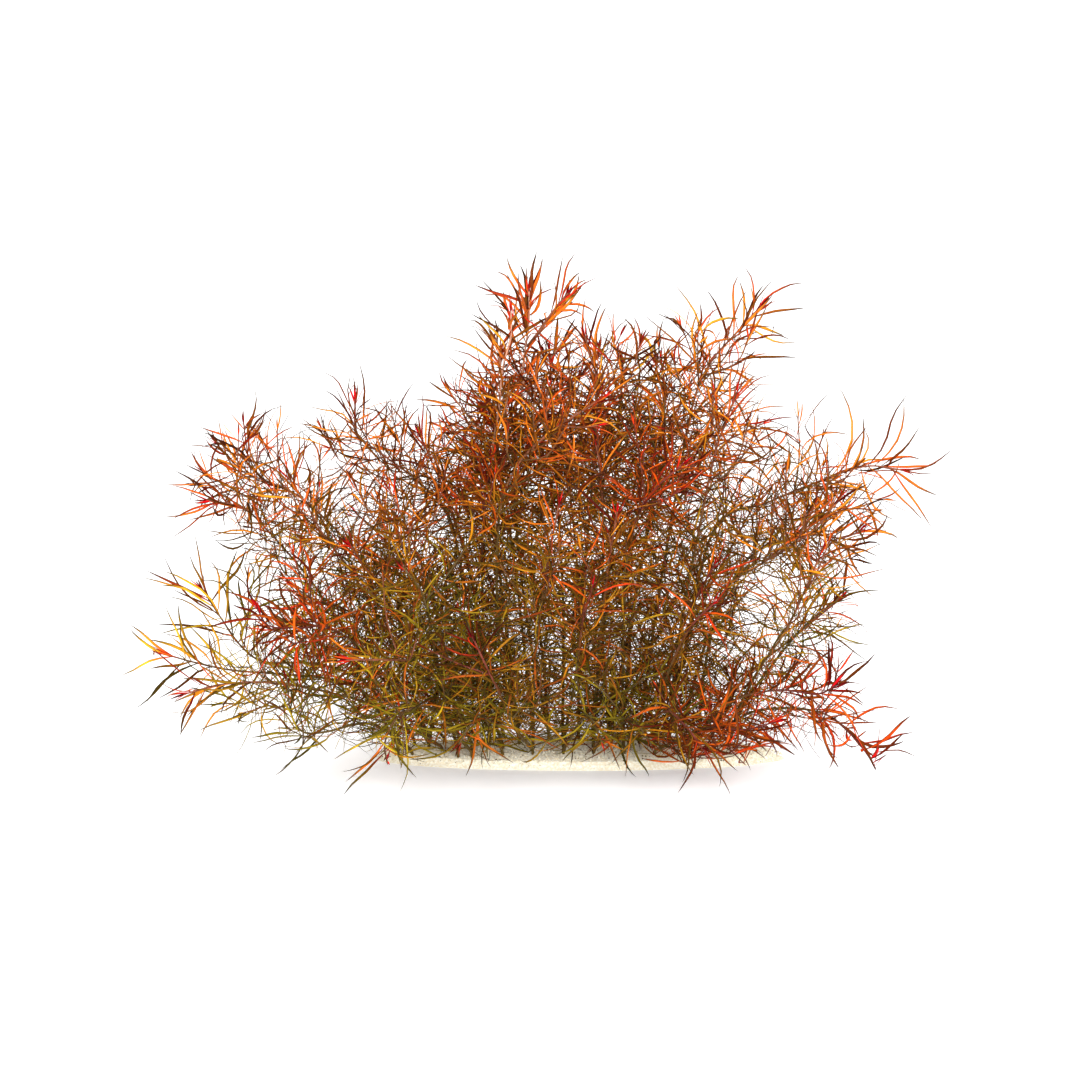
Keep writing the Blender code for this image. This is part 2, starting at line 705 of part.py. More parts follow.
def build():
    for obj in list(bpy.data.objects):
        bpy.data.objects.remove(obj)
    plant = bpy.data.collections.new("ludwigia_arcuata")
    cutters = bpy.data.collections.new("cutters")
    bpy.context.scene.collection.children.link(plant)
    bpy.context.scene.collection.children.link(cutters)
    cutters.hide_render = True

    stems, crowd = place_stems()
    for number, (name, (rings, low_rings)) in enumerate(stems.items()):
        bm = model_stem(number, name, rings, low_rings, crowd)
        high = min(rings[-1][2] / VIEW_CENTRE[1], 1.0)
        colour = [low + (top - low) * high for low, top in zip(OLIVE, RUST)]
        add_object(name, bm, plant, material(name, colour, 0.5))
    model_sand(plant, cutters, stems)


build()
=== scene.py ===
# A bush of ludwigia arcuata in a low bank of sand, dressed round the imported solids.
# Places below are in millimetres, and the meshes are made in metres.

import math

import bpy
import numpy as np
from mathutils import Matrix, Vector


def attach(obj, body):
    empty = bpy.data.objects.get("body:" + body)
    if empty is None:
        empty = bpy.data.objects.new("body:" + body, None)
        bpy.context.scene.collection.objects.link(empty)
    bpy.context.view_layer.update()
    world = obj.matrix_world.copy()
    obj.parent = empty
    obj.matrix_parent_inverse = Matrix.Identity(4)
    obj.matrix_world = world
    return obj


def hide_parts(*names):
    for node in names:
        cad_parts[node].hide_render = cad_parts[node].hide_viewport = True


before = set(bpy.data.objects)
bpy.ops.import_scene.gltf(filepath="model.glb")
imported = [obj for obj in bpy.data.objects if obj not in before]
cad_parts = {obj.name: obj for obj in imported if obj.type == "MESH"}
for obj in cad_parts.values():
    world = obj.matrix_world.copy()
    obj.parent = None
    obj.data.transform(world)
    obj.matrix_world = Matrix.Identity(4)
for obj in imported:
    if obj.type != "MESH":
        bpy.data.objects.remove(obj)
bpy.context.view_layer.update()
mm = 0.001

# the view that the stems were measured in, which the camera repeats
view = {
    "distance": 1300.0,
    "tiltDegrees": 8.0,
    "centreAcross": -11.5,
    "centreUp": 110.0,
    "frameWidth": 540.0,
    "sensorWidth": 36.0,
}

sandBank = {
    "middle": (8.0, 5.0),
    "halfLength": 103.0,
    "halfDepth": 29.0,
    "height": 9.0,
    "fall": 0.42,
}

planting = {
    "depth": 2.0,
    "collar": 2.0,
    "radius": 1.1,
    "curveStep": 2.0,
    "forkGap": 0.3,
    "bareFoot": 7.0,
    "bareFork": 4.0,
}

# each stem: its mood, where it is planted, the way it grows as (across, up, depth) in the view,
# and the leaf tips that stand out of the bush as (across, up)
stems = {
    "stem_left_low_golden": {
        "mood": "golden", "root": (-82, 0),
        "way": [(-98, 32, -22), (-114, 40, -32), (-142, 43, -38), (-166, 45, -42), (-185, 49, -44),
                (-199, 53, -45)],
        "tips": [(-217, 68), (-222, 42), (-215, 25), (-208, 29), (-200, 63), (-199, 78), (-192, 79),
                 (-186, 59), (-217, 66), (-207, 60), (-191, 70), (-188, 68), (-204, 30), (-182, 76)],
    },
    "stem_left_low_orange": {
        "mood": "orange", "root": (-60, -7),
        "way": [(-95, 27, -46), (-118, 34, -58), (-133, 37, -62), (-155, 39, -66), (-174, 37, -68),
                (-189, 33, -70)],
        "tips": [(-196, 28), (-198, 25), (-191, 12), (-189, 21), (-177, 23), (-171, 22), (-161, 25),
                 (-188, 36), (-192, 20), (-192, 40), (-168, 26), (-158, 36), (-183, 28)],
    },
    "stem_left_rising": {
        "mood": "golden", "root": (-82, 9),
        "way": [(-98, 38, 2), (-124, 48, -4), (-149, 49, -6), (-161, 57, -6), (-171, 71, -6), (-180, 85, -6)],
        "tips": [(-184, 114), (-187, 104), (-177, 100), (-158, 107), (-209, 95), (-211, 91), (-200, 103),
                 (-202, 87), (-201, 94), (-162, 107), (-196, 86), (-199, 82), (-206, 67), (-203, 62),
                 (-172, 91), (-152, 94)],
    },
    "stem_left_red_star": {
        "mood": "scarlet", "root": (-67, 0),
        "way": [(-84, 40, -50), (-114, 65, -66), (-131, 66, -72), (-147, 67, -76), (-153, 76, -78)],
        "tips": [(-157, 98), (-141, 95), (-138, 85), (-143, 70), (-158, 60), (-170, 84), (-166, 78),
                 (-162, 70), (-158, 82)],
    },
    "stem_left_inner": {
        "mood": "golden", "root": (-52, 9),
        "way": [(-74, 40, -4), (-104, 72, -20), (-124, 80, -30), (-135, 87, -34)],
        "tips": [(-134, 99), (-136, 76), (-136, 99)],
    },
    "stem_left_upper": {
        "mood": "orange", "root": (-60, 18),
        "way": [(-88, 38, 18), (-114, 72, 18), (-127, 91, 14), (-147, 114, 10), (-160, 126, 8),
                (-178, 130, 4)],
        "tips": [(-195, 145), (-196, 137), (-182, 143), (-200, 122), (-196, 120), (-197, 110), (-177, 110),
                 (-159, 105), (-181, 138), (-189, 135), (-188, 120), (-178, 110), (-185, 142)],
    },
    "stem_left_hooked": {
        "mood": "orange", "root": (-45, 18),
        "way": [(-76, 60, 26), (-102, 102, 24), (-131, 131, 18), (-150, 140, 14), (-161, 145, 12),
                (-173, 158, 10)],
        "tips": [(-181, 163), (-176, 151), (-148, 178), (-150, 173), (-124, 164), (-160, 157), (-166, 140),
                 (-166, 161), (-156, 160), (-158, 156), (-164, 132)],
    },
    "stem_left_upright": {
        "mood": "orange", "root": (-67, 9),
        "way": [(-82, 50, -14), (-102, 88, -26), (-120, 113, -34), (-129, 129, -36), (-138, 142, -38)],
        "tips": [(-140, 167), (-131, 168), (-131, 154), (-152, 150), (-141, 164), (-151, 158), (-131, 166),
                 (-124, 160), (-127, 148)],
    },
    "stem_left_arching": {
        "mood": "olive", "root": (-75, -7),
        "way": [(-96, 18, -46), (-119, 14, -64), (-130, 14, -68), (-136, 23, -70), (-138, 41, -72)],
        "tips": [(-145, -8), (-141, -5), (-140, 6), (-135, 2)],
    },
    "stem_front_yellow": {
        "mood": "golden", "root": (-45, -15),
        "way": [(-66, 26, -56), (-82, 22, -74), (-89, 9, -84), (-88, -1, -88)],
        "tips": [(-111, -6), (-109, -11), (-110, -18), (-82, -17), (-73, -9), (-115, 0), (-78, 0)],
    },
    "stem_front_left": {
        "mood": "olive", "root": (-30, -15),
        "way": [(-40, 22, -54), (-46, 18, -74), (-52, 8, -84)],
        "tips": [(-49, -9), (-36, -4), (-24, -2), (-56, 6), (-40, -5), (-37, -2)],
    },
    "stem_crown_left": {
        "mood": "orange", "root": (-30, 18),
        "way": [(-44, 60, 18), (-56, 119, 14), (-71, 138, 8), (-92, 154, 4), (-103, 163, 2), (-104, 180, 0)],
        "tips": [(-121, 194), (-120, 185), (-128, 177), (-131, 169), (-102, 200), (-105, 195), (-88, 182),
                 (-85, 182)],
    },
    "stem_crown_left_small": {
        "mood": "orange", "root": (-37, 9),
        "way": [(-42, 70, -18), (-54, 120, -34), (-66, 150, -42), (-72, 163, -44)],
        "tips": [(-79, 179), (-88, 180), (-71, 179)],
    },
    "stem_crown_left_red": {
        "mood": "red", "root": (-15, 18),
        "way": [(-22, 80, 26), (-30, 140, 22), (-35, 170, 14), (-40, 186, 10)],
        "tips": [(-64, 187), (-55, 189), (-55, 185), (-48, 192)],
    },
    "stem_top": {
        "mood": "crest", "root": (-7, 9),
        "way": [(-18, 70, 8), (-24, 130, 4), (-21, 175, 0), (-20, 197, -2), (-17, 219, -4), (-17, 236, -4)],
        "tips": [(-47, 224), (-45, 217), (-45, 238), (-41, 232), (-35, 244), (-28, 252), (-22, 248),
                 (-13, 255), (-10, 252), (-18, 248), (-22, 245), (-18, 243), (-28, 243), (-37, 230),
                 (-33, 228), (-25, 219)],
    },
    "stem_top_branch": {
        "mood": "orange", "from": "stem_top",
        "way": [(-19, 205, -4), (-12, 214, -9), (-6, 223, -12), (2, 233, -14)],
        "tips": [(-5, 241), (0, 253), (7, 254), (8, 244), (12, 240), (18, 242), (7, 230), (10, 222),
                 (16, 223), (9, 238), (8, 234), (-12, 221)],
    },
    "stem_top_second": {
        "mood": "crest", "root": (-22, 9),
        "way": [(-30, 80, -24), (-36, 140, -22), (-32, 176, -16), (-30, 196, -14), (-26, 212, -12),
                (-26, 224, -12)],
        "tips": [(-60, 212), (-59, 204), (-57, 205), (-51, 198), (-51, 193), (-43, 223), (-42, 241),
                 (-38, 216), (-32, 218)],
    },
    "stem_top_right": {
        "mood": "orange", "root": (8, 9),
        "way": [(8, 70, -12), (14, 130, -24), (17, 187, -28), (13, 203, -28), (11, 212, -28)],
        "tips": [(12, 232), (11, 221), (22, 227), (17, 217), (6, 216), (25, 213)],
    },
    "stem_top_back_red": {
        "mood": "red", "root": (0, 18),
        "way": [(0, 80, 34), (-4, 150, 34), (-6, 192, 28), (-7, 205, 26)],
        "tips": [(-14, 218), (2, 214)],
    },
    "stem_centre_leaning": {
        "mood": "orange", "root": (-22, 0),
        "way": [(-32, 60, -40), (-32, 120, -60), (-24, 145, -64), (-11, 160, -68), (4, 171, -70),
                (20, 181, -72)],
        "tips": [(45, 201), (41, 196), (30, 199), (34, 184)],
    },
    "stem_top_yellow": {
        "mood": "golden", "root": (15, 18),
        "way": [(22, 80, 26), (26, 140, 24), (29, 180, 20), (30, 199, 18)],
        "tips": [(33, 213), (28, 207), (31, 204), (24, 192)],
    },
    "stem_right_upright_red": {
        "mood": "orange", "root": (23, 9),
        "way": [(36, 80, 14), (46, 140, 12), (51, 180, 8), (49, 199, 6)],
        "tips": [(47, 206), (37, 202), (56, 190)],
    },
    "stem_crown_right": {
        "mood": "orange", "root": (38, 9),
        "way": [(46, 70, 0), (56, 130, -6), (65, 178, -8), (74, 199, -8), (88, 215, -8), (99, 227, -8)],
        "tips": [(90, 247), (89, 243), (93, 236), (101, 238), (105, 233), (71, 236), (55, 239), (40, 224),
                 (45, 209), (62, 217), (46, 201), (121, 238), (122, 226), (111, 212), (118, 209), (80, 194),
                 (88, 240), (106, 242), (107, 216), (80, 218), (72, 210), (58, 202)],
    },
    "stem_crown_right_small": {
        "mood": "orange", "root": (53, 0),
        "way": [(58, 60, -26), (68, 115, -38), (76, 153, -44), (81, 168, -46), (87, 184, -46)],
        "tips": [(93, 206), (85, 202), (106, 193), (98, 184), (113, 176), (119, 172), (112, 166), (100, 189)],
    },
    "stem_right_long": {
        "mood": "orange", "root": (53, 9),
        "way": [(62, 60, 8), (76, 116, 8), (103, 129, 6), (135, 142, 2), (153, 147, 0), (169, 145, -2)],
        "tips": [(137, 187), (150, 173), (153, 168), (173, 184), (175, 161), (179, 168), (195, 156),
                 (188, 150), (188, 132), (187, 144), (185, 115), (165, 115), (108, 170), (97, 158),
                 (170, 182), (181, 118), (167, 120), (164, 150), (172, 152), (179, 150), (154, 150)],
    },
    "stem_right_middle": {
        "mood": "orange", "root": (68, 0),
        "way": [(70, 40, -24), (80, 83, -36), (99, 98, -44), (124, 114, -50), (138, 131, -52)],
        "tips": [(128, 152), (142, 141), (152, 140), (157, 130), (132, 152), (146, 132), (154, 139),
                 (144, 142)],
    },
    "stem_right_orange": {
        "mood": "orange", "root": (60, 18),
        "way": [(72, 60, 24), (92, 100, 24), (121, 112, 18), (139, 111, 14), (150, 115, 12)],
        "tips": [(151, 129), (160, 131), (162, 124), (168, 110), (157, 126), (160, 124)],
    },
    "stem_right_crimson_star": {
        "mood": "orange", "root": (83, 0),
        "way": [(88, 26, -38), (99, 47, -54), (111, 64, -64), (121, 85, -68), (130, 106, -70)],
        "tips": [(154, 91), (163, 96), (159, 101), (149, 85)],
    },
    "stem_right_olive": {
        "mood": "olive", "root": (83, 9),
        "way": [(92, 30, 0), (108, 52, -6), (121, 67, -10), (138, 81, -12)],
        "tips": [(160, 84), (144, 59), (154, 48), (156, 57), (130, 88), (138, 92), (142, 94), (138, 68)],
    },
    "stem_right_low_red": {
        "mood": "scarlet", "root": (60, -7),
        "way": [(76, 22, -50), (88, 31, -62), (108, 35, -72), (127, 33, -78), (136, 37, -80)],
        "tips": [(138, 57), (132, 65), (133, 62), (150, 38), (132, 23), (126, 51), (133, 50)],
    },
    "stem_right_drooping": {
        "mood": "scarlet", "root": (75, -7),
        "way": [(90, 22, -36), (110, 26, -48), (131, 23, -56), (144, 13, -62), (152, 3, -66), (156, -4, -68)],
        "tips": [(176, 14), (171, 10), (169, 25), (158, 0), (157, -6), (138, -4), (135, 6), (121, 3),
                 (118, 4), (150, 20), (146, 22), (132, -5), (158, 19), (154, 18)],
    },
    "stem_right_bright_star": {
        "mood": "scarlet", "root": (45, -15),
        "way": [(72, 16, -66), (90, 15, -80), (106, 19, -86)],
        "tips": [(94, -6), (107, 1), (118, 24), (88, 6), (97, 8), (102, 4), (110, 8), (111, 9)],
    },
    "stem_front_right": {
        "mood": "red", "root": (30, -15),
        "way": [(50, 24, -62), (62, 16, -80), (71, 4, -88)],
        "tips": [(84, -20), (57, -17), (78, -14), (63, 17), (57, -1), (59, -12), (88, -6), (66, -8)],
    },
    "stem_front_middle": {
        "mood": "olive", "root": (15, -15),
        "way": [(33, 20, -58), (44, 8, -78)],
        "tips": [(31, -9), (37, -9), (43, -9)],
    },
    "stem_front_centre": {
        "mood": "olive", "root": (0, -15),
        "way": [(12, 22, -58), (20, 8, -78)],
        "tips": [(29, -6), (3, -5)],
    },
    "stem_face_crimson": {
        "mood": "red", "root": (0, -7),
        "way": [(6, 40, -50), (10, 70, -78), (15, 87, -96)],
        "tips": [(27, 95), (11, 94), (-2, 72), (36, 74)],
    },
    "stem_face_left": {
        "mood": "olive", "root": (-30, -7),
        "way": [(-42, 40, -44), (-47, 66, -66), (-52, 76, -80)],
        "tips": [(-56, 90), (-44, 62)],
    },
    "stem_face_low_red": {
        "mood": "red", "root": (-15, -15),
        "way": [(-24, 16, -52), (-31, 32, -72), (-38, 46, -86), (-45, 61, -94)],
        "tips": [(-28, 44), (-40, 36), (-52, 52)],
    },
    "stem_face_low_orange": {
        "mood": "orange", "root": (-45, -7),
        "way": [(-58, 34, -52), (-72, 48, -70), (-89, 50, -84), (-108, 50, -92)],
        "tips": [(-120, 46), (-96, 62), (-84, 38)],
    },
    "stem_face_right": {
        "mood": "red", "root": (45, -7),
        "way": [(50, 36, -46), (62, 64, -70), (76, 79, -86)],
        "tips": [(88, 84), (70, 92), (60, 76)],
    },
    "stem_face_right_high": {
        "mood": "red", "root": (30, -7),
        "way": [(30, 60, -44), (34, 110, -64), (44, 133, -74), (60, 148, -82)],
        "tips": [(61, 156), (73, 148), (66, 140)],
    },
    "stem_face_top": {
        "mood": "orange", "root": (23, 0),
        "way": [(20, 60, -26), (20, 120, -42), (18, 150, -50), (17, 166, -54)],
        "tips": [(22, 178), (8, 176)],
    },
    "stem_face_middle": {
        "mood": "orange", "root": (15, -7),
        "way": [(18, 56, -46), (22, 92, -72), (27, 124, -88)],
        "tips": [(36, 134), (16, 132)],
    },
    "stem_face_middle_left": {
        "mood": "orange", "root": (-15, -7),
        "way": [(-14, 50, -50), (-8, 96, -76), (-2, 128, -90)],
        "tips": [(-12, 140), (8, 138)],
    },
    "stem_right_mid_red": {
        "mood": "red", "root": (38, 0),
        "way": [(52, 46, -24), (64, 76, -46), (76, 98, -66)],
        "tips": [(88, 106), (72, 112), (84, 92)],
    },
    "stem_face_upper_left": {
        "mood": "red", "root": (-37, 0),
        "way": [(-40, 70, -24), (-40, 120, -48), (-36, 150, -60)],
        "tips": [(-44, 164), (-28, 162)],
    },
    "stem_left_face_high": {
        "mood": "orange", "root": (-52, 0),
        "way": [(-60, 60, -34), (-74, 106, -56), (-87, 136, -66)],
        "tips": [(-96, 150), (-80, 152), (-100, 136)],
    },
    "stem_left_face": {
        "mood": "orange", "root": (-67, 18),
        "way": [(-64, 56, -2), (-92, 88, -44), (-107, 108, -64)],
        "tips": [(-118, 116), (-106, 122), (-116, 102)],
    },
    "stem_left_face_low": {
        "mood": "olive", "root": (-52, -14),
        "way": [(-63, 50, -55), (-70, 82, -80), (-80, 96, -90)],
        "tips": [(-92, 100), (-78, 112)],
    },
    "stem_back_left": {
        "mood": "golden", "root": (-75, 18),
        "way": [(-94, 40, 36), (-124, 60, 54), (-146, 74, 64)],
        "tips": [],
    },
    "stem_back_left_high": {
        "mood": "orange", "root": (-37, 26),
        "way": [(-56, 66, 50), (-84, 104, 70), (-104, 124, 80)],
        "tips": [],
    },
    "stem_back_crown_left": {
        "mood": "orange", "root": (-22, 26),
        "way": [(-34, 80, 54), (-50, 130, 70), (-60, 158, 76)],
        "tips": [],
    },
    "stem_back_middle": {
        "mood": "orange", "root": (-7, 26),
        "way": [(-10, 50, 60), (-14, 84, 82), (-18, 106, 94)],
        "tips": [],
    },
    "stem_back_crown": {
        "mood": "orange", "root": (8, 26),
        "way": [(8, 80, 52), (4, 130, 66), (0, 168, 72)],
        "tips": [],
    },
    "stem_back_crown_right": {
        "mood": "orange", "root": (30, 18),
        "way": [(36, 80, 44), (46, 130, 58), (54, 164, 62)],
        "tips": [],
    },
    "stem_back_right_high": {
        "mood": "orange", "root": (45, 18),
        "way": [(60, 60, 46), (84, 106, 66), (98, 132, 74)],
        "tips": [],
    },
    "stem_back_right": {
        "mood": "red", "root": (75, 18),
        "way": [(90, 40, 38), (116, 62, 56), (138, 80, 62)],
        "tips": [],
    },
    "stem_back_low": {
        "mood": "olive", "root": (23, 26),
        "way": [(34, 40, 58), (46, 60, 80), (54, 76, 92)],
        "tips": [],
    },
}

tilt = math.radians(view["tiltDegrees"])


def spot(across, up, depth):
    # the real place of a point seen at (across, up) that lies this deep behind the middle
    z = 0.0
    for _ in range(6):  # six rounds bring it near enough
        away = depth * math.cos(tilt) - z * math.sin(tilt)
        shrink = 1 + away / view["distance"]
        x = view["centreAcross"] + (across - view["centreAcross"]) * shrink
        seenUp = view["centreUp"] + (up - view["centreUp"]) * shrink
        z = (seenUp - depth * math.sin(tilt)) / math.cos(tilt)
    return np.array((x, depth, z))


def seenAt(places):
    # where a real place is seen, as (across, up)
    x, y, z = np.moveaxis(np.asarray(places, float), -1, 0)
    shrink = 1 + (y * math.cos(tilt) - z * math.sin(tilt)) / view["distance"]
    across = view["centreAcross"] + (x - view["centreAcross"]) / shrink
    up = view["centreUp"] + (z * math.cos(tilt) + y * math.sin(tilt) - view["centreUp"]) / shrink
    return across, up


def sandTop(x, y):
    aside = (x - sandBank["middle"][0]) / sandBank["halfLength"]
    back = (y - sandBank["middle"][1]) / sandBank["halfDepth"]
    inside = 1 - aside**2 - back**2
    return sandBank["height"] * np.maximum(inside, 0.0) ** sandBank["fall"]


def smoothWay(points):
    # points a curve step apart on a Catmull-Rom curve through these
    points = np.asarray(points, float)
    padded = np.vstack((2 * points[0] - points[1], points, 2 * points[-1] - points[-2]))
    way = [points[0]]
    for a, b, c, d in zip(padded, padded[1:], padded[2:], padded[3:]):
        count = max(2, round(float(np.linalg.norm(c - b)) / planting["curveStep"]))
        for t in np.arange(1, count + 1) / count:
            way.append(0.5 * (2 * b + (c - a) * t + (2 * a - 5 * b + 4 * c - d) * t**2
                              + (3 * b - a - 3 * c + d) * t**3))
    return np.array(way)


def along(way):
    steps = np.linalg.norm(np.diff(way, axis=0), axis=1)
    return np.concatenate(([0.0], np.cumsum(steps)))


def pointsAt(way, distances):
    marks = along(way)
    return np.stack([np.interp(distances, marks, way[:, axis]) for axis in range(3)], axis=-1)


def unit(vectors):
    vectors = np.asarray(vectors, float)
    return vectors / np.maximum(np.linalg.norm(vectors, axis=-1, keepdims=True), 1e-9)


def aheadAt(way, distances, half=1.5):
    # the direction of the way at these distances, between points half before and half past each
    return unit(pointsAt(way, distances + half) - pointsAt(way, distances - half))


def stemWay(stem, ways):
    # the stem's curve, from the sand or from the fork that it leaves
    points = [spot(*place) for place in stem["way"]]
    if "from" in stem:
        parent = ways[stem["from"]]
        fork = parent[np.argmin(np.linalg.norm(parent - points[0], axis=1))]
        aside = points[1] - fork
        start = fork + unit(aside) * (2 * planting["radius"] + 2 * planting["forkGap"])
        return smoothWay([start] + points[1:])
    x, y = stem["root"]
    foot = np.array((x, y, sandTop(x, y) - planting["depth"]))
    collar = np.array((x, y, sandTop(x, y) + planting["collar"]))
    return np.vstack((foot, smoothWay([collar] + points)))


# camera, floor and lamps, in metres

studio = {
    "nearEdge": -3.0,
    "bendStart": 2.2,
    "bendRadius": 1.2,
    "bendSteps": 12,
    "wallTop": 5.0,
    "halfWidth": 5.0,
    "floorGrey": 0.95,
    "floorGlow": 0.22,
    "floorRoughness": 0.9,
    "skyStrength": 1.3,
    "keyLamp": {"place": (-0.8, -1.3, 1.6), "size": 1.2, "watts": 18.0},
    "frontLamp": {"place": (0.5, -1.7, 0.35), "size": 1.4, "watts": 42.0},
    "lampAim": (0, 0, 0.12),
}


def addObject(name, data):
    item = bpy.data.objects.new(name, data)
    bpy.context.scene.collection.objects.link(item)
    return item


def newMaterial(name):
    material = bpy.data.materials.new(name)
    material.use_nodes = True
    return material, material.node_tree, material.node_tree.nodes["Principled BSDF"]


def setSockets(tree, node, sockets):
    # each socket is linked, or set to its value
    for socket, value in sockets.items():
        if isinstance(value, bpy.types.NodeSocket):
            tree.links.new(value, node.inputs[socket])
        else:
            node.inputs[socket].default_value = value


def setCamera():
    cameraData = bpy.data.cameras.new("camera")
    cameraData.sensor_width = view["sensorWidth"]
    cameraData.lens = view["sensorWidth"] * view["distance"] / view["frameWidth"]
    cameraData.clip_end = 50
    camera = addObject("camera", cameraData)
    away = Vector((0, math.cos(tilt), -math.sin(tilt)))
    upwards = Vector((0, math.sin(tilt), math.cos(tilt)))
    across = Vector((1, 0, 0))
    target = across * view["centreAcross"] + upwards * view["centreUp"]
    turn = Matrix((across, upwards, -away)).transposed().to_4x4()
    camera.matrix_world = Matrix.Translation((target - away * view["distance"]) * mm) @ turn
    bpy.context.scene.camera = camera


def setStage():
    # a pale floor that curves up into a wall far behind
    start, radius = studio["bendStart"], studio["bendRadius"]
    profile = [(studio["nearEdge"], 0.0), (start, 0.0)]
    for step in range(1, studio["bendSteps"] + 1):
        angle = math.pi / 2 * step / studio["bendSteps"]
        profile.append((start + radius * math.sin(angle), radius * (1 - math.cos(angle))))
    profile.append((start + radius, studio["wallTop"]))
    points = [(side * studio["halfWidth"], y, z) for y, z in profile for side in (-1, 1)]
    faces = [(2 * k, 2 * k + 1, 2 * k + 3, 2 * k + 2) for k in range(len(profile) - 1)]
    mesh = bpy.data.meshes.new("studioFloor")
    mesh.from_pydata(points, [], faces)
    mesh.polygons.foreach_set("use_smooth", [True] * len(faces))
    paper, tree, shader = newMaterial("studioPaper")
    setSockets(tree, shader, {
        "Base Color": (*[studio["floorGrey"]] * 3, 1),
        "Roughness": studio["floorRoughness"],
        "Emission Color": (1, 1, 1, 1),
        "Emission Strength": studio["floorGlow"],
    })
    mesh.materials.append(paper)
    floor = addObject("studioFloor", mesh)


def addLamp(name):
    lampData = bpy.data.lights.new(name, "AREA")
    lampData.size = studio[name]["size"]
    lampData.energy = studio[name]["watts"]
    lamp = addObject(name, lampData)
    lamp.location = studio[name]["place"]
    lamp.rotation_euler = (Vector(studio["lampAim"]) - lamp.location).to_track_quat("-Z", "Y").to_euler()


def setLights():
    world = bpy.data.worlds.new("studio")
    world.use_nodes = True
    sky = {"Color": (1, 1, 1, 1), "Strength": studio["skyStrength"]}
    setSockets(world.node_tree, world.node_tree.nodes["Background"], sky)
    bpy.context.scene.world = world
    addLamp("keyLamp")
    addLamp("frontLamp")
    bpy.context.scene.view_settings.view_transform = "Standard"


# what the materials are made with

def paint(red, green, blue):
    # a screen colour, 0 to 255, as the linear colour that shaders take
    linear = []
    for part in (red, green, blue):
        part = part / 255
        linear.append(part / 12.92 if part <= 0.04045 else ((part + 0.055) / 1.055) ** 2.4)
    return (*linear, 1.0)


def newGroup(name, colours, numbers, outputs):
    group = bpy.data.node_groups.new(name, "ShaderNodeTree")
    inputs = [(label, "NodeSocketColor", (1, 1, 1, 1)) for label in colours]
    inputs += [(label, "NodeSocketFloat", 0.5) for label in numbers]
    for label, kind, value in inputs:
        socket = group.interface.new_socket(label, in_out="INPUT", socket_type=kind)
        socket.default_value = value
    for label, kind in outputs.items():
        group.interface.new_socket(label, in_out="OUTPUT", socket_type=kind)
    return group, group.nodes.new("NodeGroupInput").outputs, group.nodes.new("NodeGroupOutput")


def addNode(tree, kind, sockets, **settings):
    node = tree.nodes.new("ShaderNode" + kind)
    for key, value in settings.items():
        setattr(node, key, value)
    setSockets(tree, node, sockets)
    return node


def mixColours(tree, factor, first, second, blend="MIX"):
    # clamped, so that no skin gives back more light than it gets
    sockets = {"Factor": factor, 6: first, 7: second}
    return addNode(tree, "Mix", sockets, data_type="RGBA", blend_type=blend, clamp_result=True).outputs[2]


def ramp(tree, value, low, high, toLow=0.0, toHigh=1.0):
    # a smooth step of value from low to high
    sockets = {"Value": value, "From Min": low, "From Max": high, "To Min": toLow, "To Max": toHigh}
    return addNode(tree, "MapRange", sockets, interpolation_type="SMOOTHSTEP").outputs["Result"]


def maths(tree, operation, first, second=0.0):
    return addNode(tree, "Math", {0: first, 1: second}, operation=operation).outputs[0]


def times(tree, first, second):
    return maths(tree, "MULTIPLY", first, second)


def noise(tree, scale, detail=3.0):
    place = tree.nodes.new("ShaderNodeNewGeometry").outputs["Position"]
    return addNode(tree, "TexNoise", {"Vector": place, "Scale": scale, "Detail": detail}).outputs["Fac"]


def attribute(tree, name):
    return addNode(tree, "Attribute", {}, attribute_name=name).outputs["Fac"]


# leaf and stem materials

bladePaints = ("Young", "Grown", "Dark", "Old", "Low", "Point")
bladeLooks = ("Age", "Along", "Across", "Tint", "Height")
# each mood's point colour also paints the shade along one edge of each leaf
moods = {
    "orange": {
        "young": (196, 16, 30), "grown": (236, 142, 38), "dark": (144, 62, 14), "old": (206, 128, 22),
        "low": (180, 144, 34), "point": (68, 50, 36), "stem": (126, 74, 52), "broad": 1.0,
    },
    "golden": {
        "young": (196, 28, 30), "grown": (231, 166, 44), "dark": (134, 86, 14), "old": (200, 152, 28),
        "low": (184, 162, 40), "point": (62, 52, 34), "stem": (94, 66, 42), "broad": 1.05,
    },
    "red": {
        "young": (186, 12, 30), "grown": (212, 92, 18), "dark": (136, 44, 12), "old": (194, 106, 18),
        "low": (176, 130, 30), "point": (70, 44, 34), "stem": (112, 54, 44), "broad": 1.0,
    },
    "scarlet": {
        "young": (200, 18, 30), "grown": (235, 92, 20), "dark": (150, 44, 14), "old": (206, 92, 18),
        "low": (186, 92, 22), "point": (76, 42, 32), "stem": (96, 44, 38), "broad": 1.2,
    },
    "olive": {
        "young": (190, 36, 26), "grown": (212, 144, 26), "dark": (110, 80, 14), "old": (180, 142, 24),
        "low": (156, 136, 34), "point": (56, 50, 34), "stem": (92, 74, 44), "broad": 1.0,
    },
}
moods["crest"] = {**moods["orange"], "young": (198, 44, 30), "dark": (168, 90, 40),
                  "stem": (200, 144, 116), "broad": 1.2}
bladeGloss = {"specular": 0.07, "glow": 0.6}
stemBark = {"old": (98, 78, 38), "roughness": 0.6}


